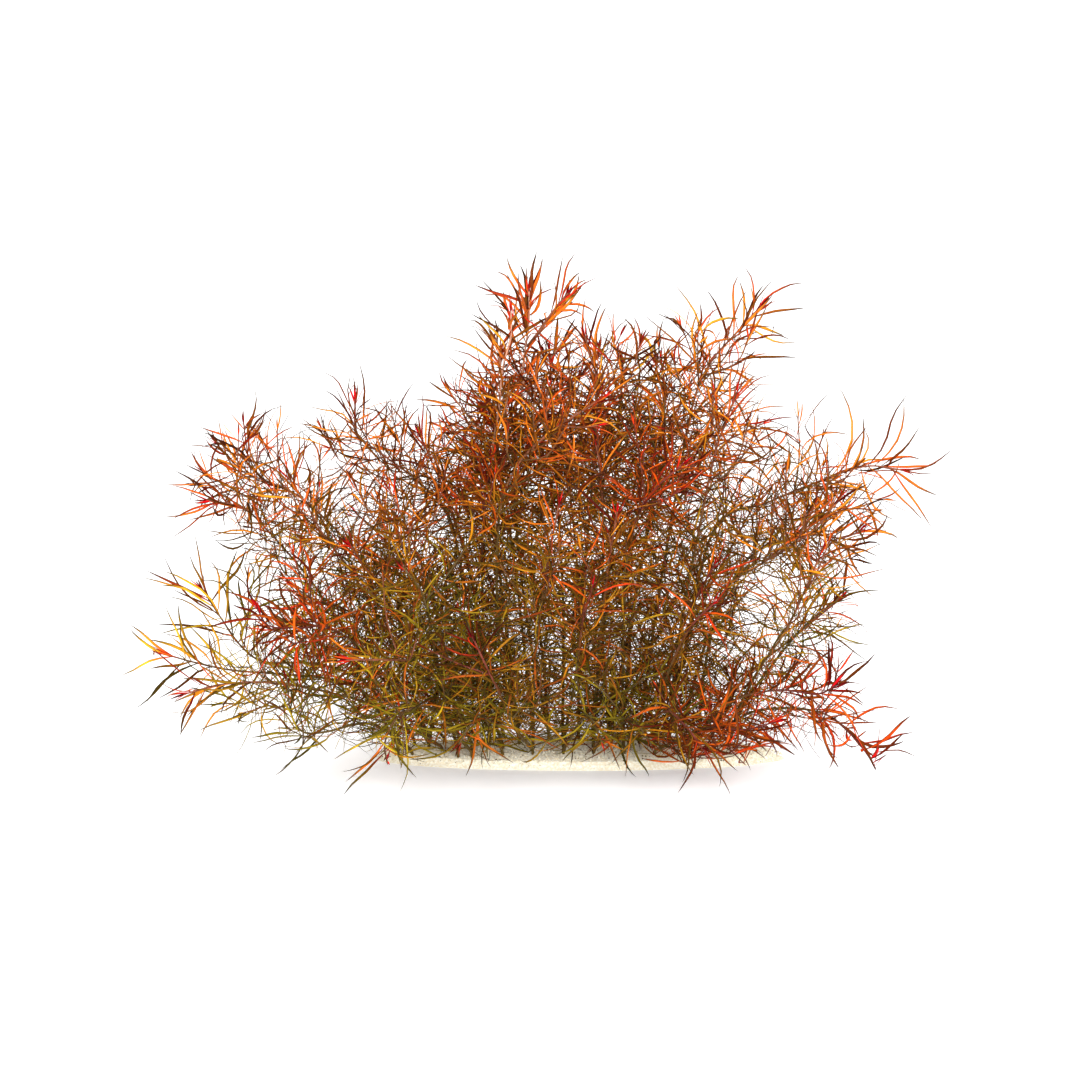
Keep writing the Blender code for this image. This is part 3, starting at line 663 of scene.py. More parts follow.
def makeBladeColour():
    # leaf colour: crimson at the shoot tips, orange or dark red when grown, rust or olive when old,
    # with painted shade along one edge, a dark point, and painted light towards the top of the bush
    outputs = {"Colour": "NodeSocketColor", "Shine": "NodeSocketFloat"}
    tree, get, made = newGroup("bladeColour", bladePaints, bladeLooks, outputs)
    varied = mixColours(tree, ramp(tree, get["Tint"], 0.31, 0.43), get["Dark"], get["Grown"])
    fresh = mixColours(tree, ramp(tree, get["Age"], 0.035, 0.1), get["Young"], varied)
    lowness = maths(tree, "ADD", get["Height"], times(tree, get["Tint"], 0.5))
    old = mixColours(tree, ramp(tree, lowness, 0.5, 1.1), get["Low"], get["Old"])
    worn = maths(tree, "SUBTRACT", get["Age"], times(tree, get["Height"], 0.25))
    aged = mixColours(tree, ramp(tree, worn, -0.02, 0.26), fresh, old)
    # some leaves are redder and each has its own shade, picked by its tint
    redder = ramp(tree, maths(tree, "FRACT", times(tree, get["Tint"], 13.0)), 0.68, 0.82, 0.0, 0.5)
    shade = ramp(tree, maths(tree, "FRACT", times(tree, get["Tint"], 7.0)), 0.0, 1.0, 0.3, 1.72)
    mottle = ramp(tree, noise(tree, 240.0), 0.3, 0.7, 0.85, 1.12)
    # painted light: leaves are made lighter towards the top of the bush, where more light falls on them
    paintedTopLight = ramp(tree, get["Height"], 0.55, 0.95, 1.0, 1.2)  # towards the top of the bush
    toneAndPaintedLight = times(tree, times(tree, shade, mottle), paintedTopLight)
    toned = mixColours(tree, 1.0, mixColours(tree, redder, aged, get["Young"]), toneAndPaintedLight, "MULTIPLY")
    # painted shade: one edge of each leaf is darkened towards the point colour, standing in for the shade
    # where the leaf folds
    margin = ramp(tree, get["Across"], -0.25, -0.95, 0.0, 0.85)
    foot = ramp(tree, get["Along"], 0.04, 0.2, 0.5, 0.0)
    point = ramp(tree, get["Along"], 0.5, 0.93, 0.0, 0.92)
    colour = toned
    for part in (margin, foot, point):
        colour = mixColours(tree, part, colour, get["Point"])
    setSockets(tree, made, {"Colour": colour, "Shine": ramp(tree, noise(tree, 120.0), 0.3, 0.7, 0.5, 0.75)})
    return tree


def makeBladeMaterial(name, mood, group):
    material, tree, shader = newMaterial("leafBlade_" + name)
    sockets = {label: paint(*mood[label.lower()]) for label in bladePaints}
    sockets.update({label: attribute(tree, label.lower()) for label in bladeLooks})
    blend = addNode(tree, "Group", sockets, node_tree=group).outputs
    setSockets(tree, shader, {"Base Color": blend["Colour"], "Roughness": blend["Shine"],
                              "Specular IOR Level": bladeGloss["specular"]})
    glow = addNode(tree, "BsdfTranslucent", {"Color": blend["Colour"]})
    share = addNode(tree, "MixShader", {"Fac": bladeGloss["glow"], 1: shader.outputs[0], 2: glow.outputs[0]})
    setSockets(tree, tree.nodes["Material Output"], {"Surface": share.outputs[0]})
    return material


def makeStemColour():
    # stem colour: fresh near the tip and bark brown when old, with a fine mottle
    tree, get, made = newGroup("stemColour", ("Fresh", "Bark"), ("Age",), {"Colour": "NodeSocketColor"})
    skin = mixColours(tree, ramp(tree, get["Age"], 0.12, 0.5), get["Fresh"], get["Bark"])
    mottle = ramp(tree, noise(tree, 420.0), 0.3, 0.7, 0.7, 1.15)
    setSockets(tree, made, {"Colour": mixColours(tree, 1.0, skin, mottle, "MULTIPLY")})
    return tree


def makeStemMaterial(name, mood, group):
    material, tree, shader = newMaterial("stemSkin_" + name)
    sockets = {"Fresh": paint(*mood["stem"]), "Bark": paint(*stemBark["old"]), "Age": attribute(tree, "age")}
    blend = addNode(tree, "Group", sockets, node_tree=group)
    setSockets(tree, shader, {"Base Color": blend.outputs["Colour"], "Roughness": stemBark["roughness"],
                              "Specular IOR Level": bladeGloss["specular"]})
    return material


# swept meshes: leaves and stems are rings of points closed by a point at each end

floorSkin = 0.3  # nothing dips closer to the floor than this
highest = 0.25  # metres up at which leaves no longer take the colours of low ones
# the bake map: columns for the stem and for its side shoots, then the leaves, and the part of each
# rectangle that is kept free at its sides
bakeMap = {"stem": 0.05, "shoots": (0.052, 0.046), "leaves": 0.1, "margin": 0.06}


def newPile():
    parts = ("points", "faces", "uvs", "slots", "creases", "age", "along", "across", "tint")
    return {"total": 0, **{part: [] for part in parts}}


def sweep(pile, rings, first, last, cells, rows, look, slot):
    # rings: count x steps x sides x 3. cells: each item's rectangle on the bake map.
    count, steps, sides, _ = rings.shape
    size = steps * sides + 2
    flat = rings.reshape(count, steps * sides, 3)
    pile["points"].append(np.concatenate((flat, first[:, None], last[:, None]), axis=1).reshape(-1, 3))
    side = np.arange(sides)
    turn = (side + 1) % sides
    step = np.arange(steps - 1)[:, None] * sides
    lastRing = (steps - 1) * sides
    quads = np.stack((step + side, step + turn, step + sides + turn, step + sides + side), axis=-1)
    bottom = np.stack((side * 0 + steps * sides, turn, side), axis=-1)
    top = np.stack((side * 0 + steps * sides + 1, lastRing + side, lastRing + turn), axis=-1)
    # bake map: one column for each side, one row for each ring
    left, right = side / sides, (side + 1) / sides
    middle = (left + right) / 2
    between = np.stack((rows[:-1], rows[:-1], rows[1:], rows[1:]), axis=-1)[:, None]
    start = pile["total"] + np.arange(count)[:, None, None] * size
    for faces, columns, heights in (
        (quads, (left, right, right, left), between),
        (bottom, (middle, right, left), (0.0, rows[0], rows[0])),
        (top, (middle, left, right), (1.0, rows[-1], rows[-1])),
    ):
        corners = faces.shape[-1]
        pile["faces"].append((start + faces.reshape(1, -1, corners)).reshape(-1, corners))
        local = np.stack(np.broadcast_arrays(np.stack(columns, axis=-1), heights), axis=-1).reshape(-1, 2)
        inset = bakeMap["margin"] + (1 - 2 * bakeMap["margin"]) * local[None]
        pile["uvs"].append((cells[:, None, :2] + cells[:, None, 2:] * inset).reshape(-1, 2))
    pile["slots"].append(np.full(count * ((steps - 1) * sides + 2 * sides), slot))
    # what the materials read
    ages = np.repeat(look["age"], sides, axis=1)
    pile["age"].append(np.concatenate((ages, ages[:, :1], ages[:, -1:]), axis=1).ravel())
    pile["along"].append(np.tile(np.concatenate((np.repeat(rows, sides), [0.0, 1.0])), count))
    pile["across"].append(np.tile(np.concatenate((np.tile(look["across"], steps), [0.0, 0.0])), count))
    pile["tint"].append(np.repeat(look["tint"], size))
    pile["creases"].append(np.tile(np.append(np.tile(look["crease"], steps), [False, False]), count))
    pile["total"] += count * size


def addLayer(mesh, label, values, kind="FLOAT", domain="POINT"):
    layer = mesh.attributes.new(label, kind, domain)
    layer.data.foreach_set("value", values.astype(np.float32 if kind == "FLOAT" else bool))


def pileMesh(name, pile, materials):
    points = np.concatenate(pile["points"]) * mm
    points[:, 2] = np.maximum(points[:, 2], floorSkin * mm)
    corners = np.concatenate([faces.ravel() for faces in pile["faces"]])
    sizes = np.concatenate([np.full(len(faces), faces.shape[1]) for faces in pile["faces"]])
    mesh = bpy.data.meshes.new(name)
    mesh.vertices.add(len(points))
    mesh.vertices.foreach_set("co", points.ravel().astype(np.float32))
    mesh.loops.add(len(corners))
    mesh.loops.foreach_set("vertex_index", corners.astype(np.int32))
    mesh.polygons.add(len(sizes))
    mesh.polygons.foreach_set("loop_start", (np.cumsum(sizes) - sizes).astype(np.int32))
    mesh.polygons.foreach_set("material_index", np.concatenate(pile["slots"]).astype(np.int32))
    mesh.polygons.foreach_set("use_smooth", np.ones(len(sizes), bool))
    mesh.update(calc_edges=True)
    layer = mesh.uv_layers.new(name="OFBake")
    layer.uv.foreach_set("vector", np.concatenate(pile["uvs"]).ravel().astype(np.float32))
    for label in ("age", "along", "across", "tint"):
        addLayer(mesh, label, np.concatenate(pile[label]))
    addLayer(mesh, "height", (points[:, 2] / highest).clip(0, 1))
    ends = np.empty(len(mesh.edges) * 2, np.int32)
    mesh.edges.foreach_get("vertices", ends)
    creased = np.concatenate(pile["creases"])[ends.reshape(-1, 2)].all(axis=1)
    addLayer(mesh, "sharp_edge", creased, "BOOLEAN", "EDGE")
    for material in materials:
        mesh.materials.append(material)
    mesh.validate()
    return mesh


def gridCells(count, left):
    # rectangles for this many leaves on the bake map, right of left and about half as tall as wide
    across = max(1, math.ceil(math.sqrt(count) * 0.7))
    up = math.ceil(count / across)
    number = np.arange(count)
    width = (1 - left) / across
    return np.stack((left + (number % across) * width, (number // across) / up,
                     np.full(count, width), np.full(count, 1 / up)), axis=-1)


# leaf outlines from base to point: broad blades near the tips, and thin ones deep in the bush
blade = {
    "steps": np.array([0.0, 0.09, 0.24, 0.42, 0.6, 0.76, 0.91]),
    "widths": np.array([0.3, 0.5, 0.84, 1.0, 0.92, 0.68, 0.34]),
    "thickness": 0.34,
    "fold": 0.2,
    "wave": 0.5,
}
thread = {
    "steps": np.array([0.0, 0.14, 0.32, 0.5, 0.68, 0.86]),
    "widths": np.array([0.45, 0.8, 1.0, 1.0, 0.85, 0.5]),
    "thickness": 0.26,
    "fold": 0.1,
    "wave": 1.1,
}
# how strongly a leaf bends, how often it waves, and how thin and deep in the stem its ends are
leafEnds = {"pull": 1.15, "turns": 1.15, "waveLength": 30.0, "thinEnds": 0.4, "heel": 0.2}


def leafRings(form, leaf):
    s = form["steps"][None, :, None]
    base = leaf["base"][:, None]
    tip = leaf["tip"][:, None]
    reach = np.linalg.norm(tip - base, axis=2, keepdims=True)
    startPull = leaf["leaves"][:, None] * reach * leafEnds["pull"]
    endPull = leaf["ends"][:, None] * reach * leafEnds["pull"]
    line = ((2 * s**3 - 3 * s**2 + 1) * base + (s**3 - 2 * s**2 + s) * startPull
            + (3 * s**2 - 2 * s**3) * tip + (s**3 - s**2) * endPull)
    phase = leaf["phase"][:, None, None]
    size = form["wave"] * reach / leafEnds["waveLength"]
    swing = np.sin(2 * math.pi * leafEnds["turns"] * s + phase) * s * (1 - s) * 4 * size
    line = line + leaf["broad"][:, None] * swing * leaf["wavy"][:, None, None]
    ahead = unit(np.gradient(line, axis=1))
    broad = leaf["broad"][:, None] * np.ones_like(line)
    broad = unit(broad - (broad * ahead).sum(axis=2, keepdims=True) * ahead)
    face = np.cross(ahead, broad)
    roll = leaf["roll"][:, None, None] + leaf["twist"][:, None, None] * s
    wide = np.cos(roll) * broad + np.sin(roll) * face
    thick = np.cos(roll) * face - np.sin(roll) * broad
    half = leaf["width"][:, None, None] / 2 * form["widths"][None, :, None]
    thin = leafEnds["thinEnds"]
    depth = form["thickness"] / 2 * (thin + (1 - thin) * form["widths"][None, :, None])
    lift = form["fold"] * half * thick
    rings = np.stack((line - half * wide + lift, line - depth * thick,
                      line + half * wide + lift, line + depth * thick), axis=2)
    return rings, line[:, 0] - leafEnds["heel"] * ahead[:, 0], leaf["tip"]


def tubeRings(way, radii, sides):
    ahead = unit(np.gradient(way, axis=0))
    guide = np.array((0.31, 0.9, 0.29))  # no stem grows this way
    first = unit(np.cross(ahead, guide))
    second = np.cross(ahead, first)
    angle = np.arange(sides) / sides * 2 * math.pi
    spokes = np.cos(angle)[None, :, None] * first[:, None] + np.sin(angle)[None, :, None] * second[:, None]
    return (way[:, None] + radii[:, None, None] * spokes)[None]


# growth: pairs of leaves and side shoots, from the tip of a stem back to its foot

stemShape = {"sides": 6, "ringGap": 2.6, "radii": (0.85, 0.42)}
skinShape = {"leastRings": 4, "point": 1.5, "heel": 0.2, "knot": 0.2, "knotPace": 1.3, "knotNarrowness": 0.75}
leafShape = {
    "firstGap": 0.8,
    "budGap": 1.6,
    "budGrowth": 0.2,
    "gap": 2.6,
    "gapGrowth": 0.05,
    "longestGap": 7.5,
    "youngLength": 7.5,
    "youngReach": 6.5,
    "length": 29.5,
    "lengthSpread": 0.16,
    "youngWidth": 0.9,
    "width": 1.25,
    "oldWidth": 0.64,
    "widthSpread": 0.25,
    "heartThinning": 0.22,
    "youngLean": 13.0,
    "grownLean": 38.0,
    "oldLean": 36.0,
    "oldLeanBack": 60.0,
    "leanSpread": 0.16,
    "turnSpread": 0.25,
    "pairSpread": 0.2,
    "aimSpread": 0.1,
    "arch": 0.6,
    "archRange": (-0.4, 1.2),
    "youngCurl": 0.2,
    "oldCurl": 0.45,
    "oldCurlBack": 70.0,
    "endBend": (0.5, 1.3),
    "endSpread": 0.3,
    "waves": (0.2, 1.5),
    "roll": 1.5,
    "twist": 0.8,
    "claimedFreedom": 0.3,
    "threadsBeyond": 62.0,
    "tipSwing": 9.0,
    "tipSwingPace": 2.4,
    "ripening": 0.14,
    "ripeningBack": 30.0,
    "budLength": 4.5,
    "overSand": (0.8, 5.0),
}
sideShoots = {
    "firstBack": 20.0,
    "heights": (50.0, 130.0),
    "share": (0.16, 0.42),  # of the leaves that have one, at each of the two heights
    "leastFullness": 0.25,
    "length": 30.0,
    "lengthSpread": 12.0,
    "budGap": 3.2,
    "gap": 4.6,
    "gapGrowth": 0.03,
    "longestGap": 7.0,
    "leafLength": 27.0,
    "outward": 0.9,
    "forward": 0.55,
    "upward": 0.25,
    "lift": 0.7,
    "liftSpread": 0.3,
    "lowAge": 0.65,
    "ageFall": 0.5,
    "ageHeight": 170.0,
    "sides": 4,
    "ringGap": 4.0,
    "radii": (0.42, 0.294),
    "tipAge": 0.6,
}
netLeaves = {
    "firstBack": 18.0,
    "atKnot": 4.9,
    "strays": 3.0,
    "leans": (35.0, 120.0),
    "length": 27.0,
    "lengthSpread": 7.0,
    "heights": (30.0, 150.0),
    "widths": (0.42, 0.7),
    "curl": 1.0,
}
# the dense heart of the bush, as seen: its middle and half its width and height
heart = {
    "across": -12.0,
    "up": 85.0,
    "halfAcross": 145.0,
    "halfUp": 106.0,
    "power": 5.0,
    "edge": (0.75, 1.25),
    "lowest": 80.0,
    "lowShare": 0.45,
    "strayShare": 0.2,
}
# what a leaf must be like to end at a tip seen in the picture
claim = {"offLength": 0.7, "offForward": 16.0, "forward": 0.5, "facing": 7.0, "longest": 48.0}
groundLine = (3.0, 14.0)  # only the tips listed above are seen lower than this
fullAge = 130.0  # how far back from the tip a leaf has its oldest colour
lowWear = {"from": 12.0, "most": 0.3, "height": 150.0}  # leaves deep and low in the bush look older
seeds = {"growth": 100, "looks": 500, "sand": 7}


def knotMarks(length, bareFoot, form):
    # distances back from the tip at which pairs of leaves grow
    marks = []
    back = leafShape["firstGap"]
    while length - back > bareFoot:
        marks.append(back)
        back += min(form["budGap"] + leafShape["budGrowth"] * back, form["gap"] + form["gapGrowth"] * back,
                    form["longestGap"])
    return np.array(marks)


def turnedOut(ahead, angle):
    # a direction square to ahead, turned about it by this angle
    square = unit(np.cross(ahead, (0.21, 0.5, 0.84)))
    cross = np.cross(ahead, square)
    return (square * math.cos(angle) + cross * math.sin(angle)
            + ahead * (ahead @ square) * (1 - math.cos(angle)))


def fullness(places):
    # how thickly leaves grow here, 1 in the heart of the bush and 0 beside it
    across, up = seenAt(places)
    reach = (np.abs((across - heart["across"]) / heart["halfAcross"]) ** heart["power"]
             + np.abs((up - heart["up"]) / heart["halfUp"]) ** heart["power"])
    inner, outer = heart["edge"]
    inside = np.clip((outer - reach) / (outer - inner), 0, 1)
    return inside * (heart["lowShare"] + (1 - heart["lowShare"]) * np.clip(up / heart["lowest"], 0, 1))


def growPairs(way, marks, fullLength, dice, backOffset, leaves):
    # opposite pairs, each a quarter turn on from the last
    places = along(way)[-1] - marks
    turn = dice.uniform(0, math.pi)
    turnSpread, pairSpread = leafShape["turnSpread"], leafShape["pairSpread"]
    for back, place, ahead in zip(marks, pointsAt(way, places), aheadAt(way, places)):
        turn += math.pi / 2 + dice.uniform(-turnSpread, turnSpread)
        grown = min(back / leafShape["youngReach"], 1.0)
        size = leafShape["youngLength"] + (fullLength - leafShape["youngLength"]) * grown**2
        lean = (leafShape["youngLean"] + leafShape["grownLean"] * grown**2
                + leafShape["oldLean"] * min(back / leafShape["oldLeanBack"], 1))
        for half in (0, math.pi):
            leaves.append(dict(
                base=place, ahead=ahead,
                out=turnedOut(ahead, turn + half + dice.uniform(-pairSpread, pairSpread)),
                lean=math.radians(lean) + dice.normal(0, leafShape["leanSpread"]) * grown,
                length=size * (1 + dice.uniform(-1, 0.6) * leafShape["lengthSpread"]),
                back=back + backOffset, grown=grown, net=False,
            ))


def growNet(way, marks, dice, leaves):
    # extra thin, curling leaves at the older knots, which fill the heart of the bush
    total = along(way)[-1]
    strays = netLeaves["strays"]
    for back in marks[marks > netLeaves["firstBack"]]:
        share = max(float(fullness(pointsAt(way, total - back))), heart["strayShare"])
        for _ in range(round(netLeaves["atKnot"] * share + dice.uniform(-0.5, 0.5))):
            place = min(total - back + dice.uniform(-strays, strays), total)
            ahead = aheadAt(way, place)
            leaves.append(dict(
                base=pointsAt(way, place), ahead=ahead,
                out=turnedOut(ahead, dice.uniform(0, 2 * math.pi)),
                lean=math.radians(dice.uniform(*netLeaves["leans"])),
                length=netLeaves["length"] + dice.uniform(-1, 1) * netLeaves["lengthSpread"],
                back=back, grown=1.0, net=True,
            ))


def claimTips(leaves, wanted):
    # the leaf tips seen in the picture go to the leaves that reach them best
    for tip in wanted:
        best = None
        for leaf in leaves:
            if "tip" in leaf or leaf["back"] < leafShape["budLength"]:
                continue
            chord = tip - leaf["base"]
            reach = np.linalg.norm(chord)
            forward = (chord @ leaf["ahead"]) / reach
            cost = (claim["offLength"] * abs(reach - leafShape["length"])
                    + claim["offForward"] * abs(forward - claim["forward"])
                    - claim["facing"] * (chord @ leaf["out"]) / reach)
            if reach < claim["longest"] and (best is None or cost < best[0]):
                best = (cost, leaf)
        if best:
            best[1]["tip"] = tip


def wantedTips(stem, way):
    tips = []
    for number, (across, up) in enumerate(stem["tips"]):
        rough = spot(across, up, way[-1][1])
        depth = way[np.argmin(np.linalg.norm(way - rough, axis=1))][1]
        swing = leafShape["tipSwing"] * math.sin(leafShape["tipSwingPace"] * number)
        tips.append(spot(across, up, depth + swing))
    return tips


def aimLeaves(leaves, dice):
    # where each leaf ends, how it leaves the stem and how it arrives
    spread, endSpread = leafShape["aimSpread"], leafShape["endSpread"]
    for leaf in leaves:
        ahead, out, lean, grown = leaf["ahead"], leaf["out"], leaf["lean"], leaf["grown"]
        leaf["seen"] = "tip" in leaf
        if not leaf["seen"]:
            aim = math.cos(lean) * ahead + math.sin(lean) * out
            leaf["tip"] = leaf["base"] + leaf["length"] * unit(aim + dice.normal(0, spread, 3) * grown)
            lowest = (dice.uniform(*groundLine) - leaf["tip"][1] * math.sin(tilt)) / math.cos(tilt)
            if leaf["tip"][2] < lowest:
                leaf["tip"][2] = lowest + dice.uniform(0.3, 1.0) * (lowest - leaf["tip"][2])
        x, y, z = leaf["tip"]
        leaf["tip"] = np.array((x, y, max(z, float(sandTop(x, y)) + dice.uniform(*leafShape["overSand"]))))
        chord = unit(leaf["tip"] - leaf["base"])
        curl = leafShape["youngCurl"] + leafShape["oldCurl"] * min(leaf["back"] / leafShape["oldCurlBack"], 1)
        if leaf["net"]:
            curl = netLeaves["curl"]
        sag = leafShape["arch"] * dice.uniform(*leafShape["archRange"]) * ahead + dice.normal(0, curl, 3)
        sag = (sag - (sag @ chord) * chord) * grown
        leaf["leaves"] = unit(chord + sag)
        sag = sag * dice.uniform(*leafShape["endBend"])
        leaf["ends"] = unit(chord - sag + dice.normal(0, endSpread, 3) * grown)
        broad = np.cross(chord, (0, 1, 0)) if leaf["seen"] else np.cross(ahead, out)
        leaf["broad"] = unit(broad - (broad @ chord) * chord)


def growSideShoot(leaf, dice, leaves):
    # a short shoot that leaves the stem beside this leaf and then rises
    start, back = leaf["base"], leaf["back"]
    half = (sideShoots["length"] + dice.uniform(-1, 1) * sideShoots["lengthSpread"]) * 0.5
    rise = unit(sideShoots["outward"] * leaf["out"] + sideShoots["forward"] * leaf["ahead"]
                + (0, 0, sideShoots["upward"]))
    lift = unit(rise + (0, 0, sideShoots["lift"]) + dice.normal(0, sideShoots["liftSpread"], 3))
    middle = start + rise * half
    way = smoothWay([start, middle, middle + lift * half])
    marks = knotMarks(along(way)[-1], planting["bareFork"], sideShoots)
    share = sideShoots["lowAge"] - sideShoots["ageFall"] * min(start[2] / sideShoots["ageHeight"], 1)
    growPairs(way, marks, sideShoots["leafLength"], dice, share * back, leaves)
    return way, min(back / fullAge, 1.0)


def growStem(number, stem, way):
    dice = np.random.default_rng(seeds["growth"] + number)
    marks = knotMarks(along(way)[-1], planting["bareFoot" if "root" in stem else "bareFork"], leafShape)
    leaves = []
    growPairs(way, marks, leafShape["length"], dice, 0.0, leaves)
    claimTips(leaves, wantedTips(stem, way))
    older = [leaf for leaf in leaves if leaf["back"] > sideShoots["firstBack"]
             and fullness(leaf["base"]) > sideShoots["leastFullness"]]
    growNet(way, marks, dice, leaves)
    sideWays = [growSideShoot(leaf, dice, leaves) for leaf in older
                if dice.uniform() <= np.interp(leaf["base"][2], sideShoots["heights"], sideShoots["share"])]
    aimLeaves(leaves, dice)
    return leaves, sideWays


def addLeaves(pile, form, leaves, dice, cells, broad):
    count = len(leaves)
    get = {key: np.array([leaf[key] for leaf in leaves]) for key in (
        "base", "tip", "leaves", "ends", "broad", "back", "grown", "net", "seen")}
    bases, back, grown = get["base"], get["back"], get["grown"]
    heights = bases[:, 2]
    lowness = np.clip(1 - heights / lowWear["height"], 0, 1) * fullness(bases)
    age = back / fullAge + np.where(back > lowWear["from"], lowWear["most"] * lowness, 0)
    reach = np.linalg.norm(get["tip"] - bases, axis=1)
    riper = (leafShape["ripening"] * reach / leafShape["length"]
             * np.clip(1 - back / leafShape["ripeningBack"], 0, 1))
    freedom = grown * np.where(get["seen"], leafShape["claimedFreedom"], 1.0)
    width = leafShape["youngWidth"] + (leafShape["width"] - leafShape["youngWidth"]) * grown
    wasting = np.clip(back / fullAge * 1.6 - 0.3, 0, 1)  # none near the tip, whole well before full age
    width = width + (leafShape["oldWidth"] - leafShape["width"]) * wasting
    width = width * (1 - leafShape["heartThinning"] * fullness(bases))
    width = np.where(get["net"], np.interp(heights, netLeaves["heights"], netLeaves["widths"]), width)
    get.update(
        width=width * broad * (1 + dice.uniform(-1, 1, count) * leafShape["widthSpread"]),
        phase=dice.uniform(0, 2 * math.pi, count),
        wavy=dice.uniform(*leafShape["waves"], count) * grown,
        roll=dice.uniform(-leafShape["roll"], leafShape["roll"], count) * freedom,
        twist=dice.normal(0, leafShape["twist"], count) * freedom,
    )
    rings, first, last = leafRings(form, get)
    ages = np.clip(age[:, None] + riper[:, None] * form["steps"], 0, 1)
    look = {"across": [-1, 0, 1, 0], "crease": [True, False, True, False], "age": ages,
            "tint": dice.uniform(0, 1, count)}
    rows = 0.04 + 0.9 * form["steps"]
    sweep(pile, rings, first, last, cells, rows, look, 0)


def addTube(pile, path, form, cell, ages):
    total, sides = along(path)[-1], form["sides"]
    steps = max(skinShape["leastRings"], int(total / form["ringGap"]))
    marks = np.linspace(0, total, steps)
    line = pointsAt(path, marks)
    atKnot = np.sin(marks * skinShape["knotPace"]) > skinShape["knotNarrowness"]
    thick = np.interp(marks, (0, total), form["radii"]) * (1 + skinShape["knot"] * atKnot)
    end = line[-1] + unit(line[-1] - line[-2]) * skinShape["point"]
    look = {"across": [0.0] * sides, "crease": [False] * sides,
            "age": np.interp(marks, (0, total), ages)[None], "tint": np.array([0.5])}
    rows = np.linspace(0.03, 0.97, steps)
    heel = line[:1] - (0, 0, skinShape["heel"])
    sweep(pile, tubeRings(line, thick, sides), heel, end[None], np.array([cell]), rows, look, 1)


def dressStem(number, name, stem, way, materials):
    leaves, sideWays = growStem(number, stem, way)
    dice = np.random.default_rng(seeds["looks"] + number)
    pile = newPile()
    beyond = leafShape["threadsBeyond"]
    wide = [leaf for leaf in leaves if not leaf["net"] and leaf["back"] < beyond]
    thin = [leaf for leaf in leaves if leaf["net"] or leaf["back"] >= beyond]
    cells = gridCells(len(leaves), bakeMap["leaves"])
    broad = moods[stem["mood"]]["broad"]
    addLeaves(pile, blade, wide, dice, cells[:len(wide)], broad)
    if thin:
        addLeaves(pile, thread, thin, dice, cells[len(wide):], broad)
    addTube(pile, way, stemShape, (0.0, 0.0, bakeMap["stem"], 1.0), (min(along(way)[-1] / fullAge, 1), 0))
    left, width = bakeMap["shoots"]
    for place, (sideWay, age) in enumerate(sideWays):
        cell = (left, place / len(sideWays), width, 1 / len(sideWays))
        addTube(pile, sideWay, sideShoots, cell, (age, age * sideShoots["tipAge"]))
    mesh = pileMesh(name + "_leaves", pile, materials)
    piece = addObject(name + "_leaves", mesh)
    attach(piece, "root")
    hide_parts(name)
    mesh.calc_loop_triangles()
    return len(wide), len(thin), len(mesh.loop_triangles)


def dressStems():
    bladeColour = makeBladeColour()
    stemColour = makeStemColour()
    materials = {name: (makeBladeMaterial(name, mood, bladeColour), makeStemMaterial(name, mood, stemColour))
                 for name, mood in moods.items()}
    ways = {}
    counts = np.zeros(3, int)
    for number, (name, stem) in enumerate(stems.items()):
        ways[name] = stemWay(stem, ways)
        counts += dressStem(number, name, stem, ways[name], materials[stem["mood"]])
    print(f"stems: {len(stems)}, broad leaves: {counts[0]}, thin leaves: {counts[1]}, triangles: {counts[2]}")


# the sand

sandSkin = {
    "rings": 26,
    "spokes": 110,
    "rimWaves": ((0.012, 5, 1), (0.010, 9, 2), (0.006, 17, 0)),  # depth, waves round the rim, start
    "ripples": ((0.22, 5.0, 1, 3.5, 0), (0.12, 1.9, 0, 1.7, 2)),  # depth, then length and start each way
    "sink": 0.98,
    "least": 0.5,
    "rimHeight": 1.4,
    "kind": 0.35,  # the mound's place between pale and warm grains
    "roughness": 0.85,
    "specular": 0.3,
}
sandGrains = {
    "count": 6500,
    "smallest": 0.22,
    "largest": 0.55,
    "uneven": (0.75, 1.25),
    "shown": 0.2,
    "lowest": 0.8,
    "pale": (252, 250, 236),
    "warm": (236, 226, 198),
    "dark": (96, 78, 38),
}


def makeSandMaterial():
    # pale and warm patches, warmer grains, and one grain in about ten dark
    material, tree, shader = newMaterial("paleSand")
    pale, warm, dark = (paint(*sandGrains[name]) for name in ("pale", "warm", "dark"))
    kind = attribute(tree, "kind")
    patches = mixColours(tree, ramp(tree, noise(tree, 900.0, 2.0), 0.35, 0.65), pale, warm)
    warmed = mixColours(tree, ramp(tree, kind, 0.3, 0.8, 0.0, 0.6), patches, warm)
    speckled = mixColours(tree, ramp(tree, kind, 0.9, 0.93), warmed, dark)
    setSockets(tree, shader, {"Base Color": speckled, "Roughness": sandSkin["roughness"],
                              "Specular IOR Level": sandSkin["specular"]})
    return material


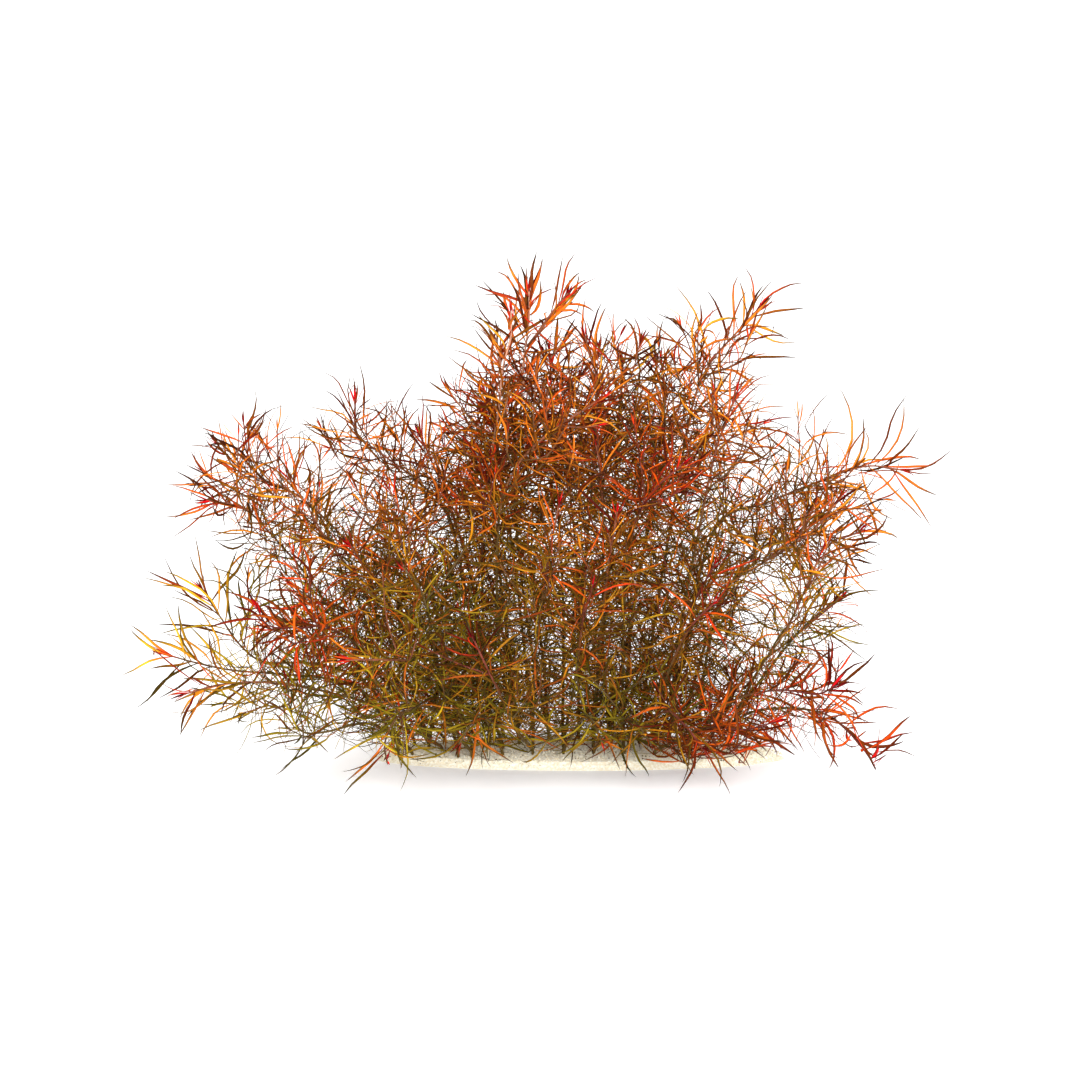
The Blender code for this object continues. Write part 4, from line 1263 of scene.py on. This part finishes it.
def sandMound():
    # rings of points from the middle out to the wavy rim, closed underneath
    spokes = sandSkin["spokes"]
    radius = np.append(np.linspace(0.0, 0.96, sandSkin["rings"])[1:], 1.0)
    angles = np.arange(spokes) / spokes * 2 * math.pi
    rim = np.minimum(1 + sum(depth * np.sin(waves * angles + start)
                             for depth, waves, start in sandSkin["rimWaves"]), 1.0)
    middleX, middleY = sandBank["middle"]
    x = radius[:, None] * rim * sandBank["halfLength"] * np.cos(angles)
    y = radius[:, None] * rim * sandBank["halfDepth"] * np.sin(angles)
    ripple = sum(depth * np.sin(x / long + left) * np.sin(y / wide + front)
                 for depth, long, left, wide, front in sandSkin["ripples"])
    z = sandTop(middleX + x / rim, middleY + y / rim) * sandSkin["sink"] + ripple * (1 - radius[:, None] ** 4)
    z = np.maximum(z, sandSkin["least"])
    z[-1] = 0.0
    z[-2] = np.minimum(z[-2], sandSkin["rimHeight"])
    surface = np.stack((middleX + x, middleY + y, z), axis=-1).reshape(-1, 3)
    points = np.concatenate(([[middleX, middleY, sandBank["height"]]], surface, [[middleX, middleY, 0]]))
    pairs = [(k, (k + 1) % spokes) for k in range(spokes)]
    faces = [(0, 1 + k, 1 + n) for k, n in pairs]
    lastRing = 1 + (len(radius) - 1) * spokes
    for low in range(1, lastRing, spokes):
        high = low + spokes
        faces += [(low + k, high + k, high + n, low + n) for k, n in pairs]
    faces += [(lastRing + k, len(points) - 1, lastRing + n) for k, n in pairs]
    return points, faces


def looseGrains(dice):
    # eight-sided pebbles half sunk in the mound
    count = sandGrains["count"]
    middleX, middleY = sandBank["middle"]
    reach = np.sqrt(dice.uniform(0, 1, count))
    angle = dice.uniform(0, 2 * math.pi, count)
    x = middleX + reach * sandBank["halfLength"] * np.cos(angle)
    y = middleY + reach * sandBank["halfDepth"] * np.sin(angle)
    size = dice.uniform(sandGrains["smallest"], sandGrains["largest"], count)
    z = np.maximum(sandTop(x, y) * sandSkin["sink"] + sandGrains["shown"] * size, sandGrains["lowest"] * size)
    corner = np.array(((1, 0, 0), (0, 1, 0), (-1, 0, 0), (0, -1, 0), (0, 0, 1), (0, 0, -1)), float)
    shape = corner[None] * dice.uniform(*sandGrains["uneven"], (count, 6, 1)) * size[:, None, None]
    spin = dice.uniform(0, 2 * math.pi, count)[:, None]
    turnedX = shape[..., 0] * np.cos(spin) - shape[..., 1] * np.sin(spin)
    turnedY = shape[..., 0] * np.sin(spin) + shape[..., 1] * np.cos(spin)
    centre = np.stack((x, y, z), axis=-1)[:, None]
    points = (np.stack((turnedX, turnedY, shape[..., 2]), axis=-1) + centre).reshape(-1, 3)
    points[:, 2] = np.maximum(points[:, 2], 0.0)
    sides = np.array([(0, 1, 4), (1, 2, 4), (2, 3, 4), (3, 0, 4), (1, 0, 5), (2, 1, 5), (3, 2, 5), (0, 3, 5)])
    faces = (sides[None] + np.arange(count)[:, None, None] * 6).reshape(-1, 3)
    return points, faces, np.repeat(dice.uniform(0, 1, count), 6)


def makeSand():
    points, faces = sandMound()
    grainPoints, grainFaces, grainKinds = looseGrains(np.random.default_rng(seeds["sand"]))
    faces += (grainFaces + len(points)).tolist()
    mesh = bpy.data.meshes.new("paleSandBank")
    mesh.from_pydata(np.concatenate((points, grainPoints)) * mm, [], faces)
    addLayer(mesh, "kind", np.concatenate((np.full(len(points), sandSkin["kind"]), grainKinds)))
    mesh.materials.append(makeSandMaterial())
    piece = addObject("paleSandBank", mesh)
    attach(piece, "root")
    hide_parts("sand_bed")
    print(f"sand: {sandGrains['count']} grains")


setCamera()
setStage()
setLights()
print("camera, floor and lights are in place")
dressStems()
makeSand()
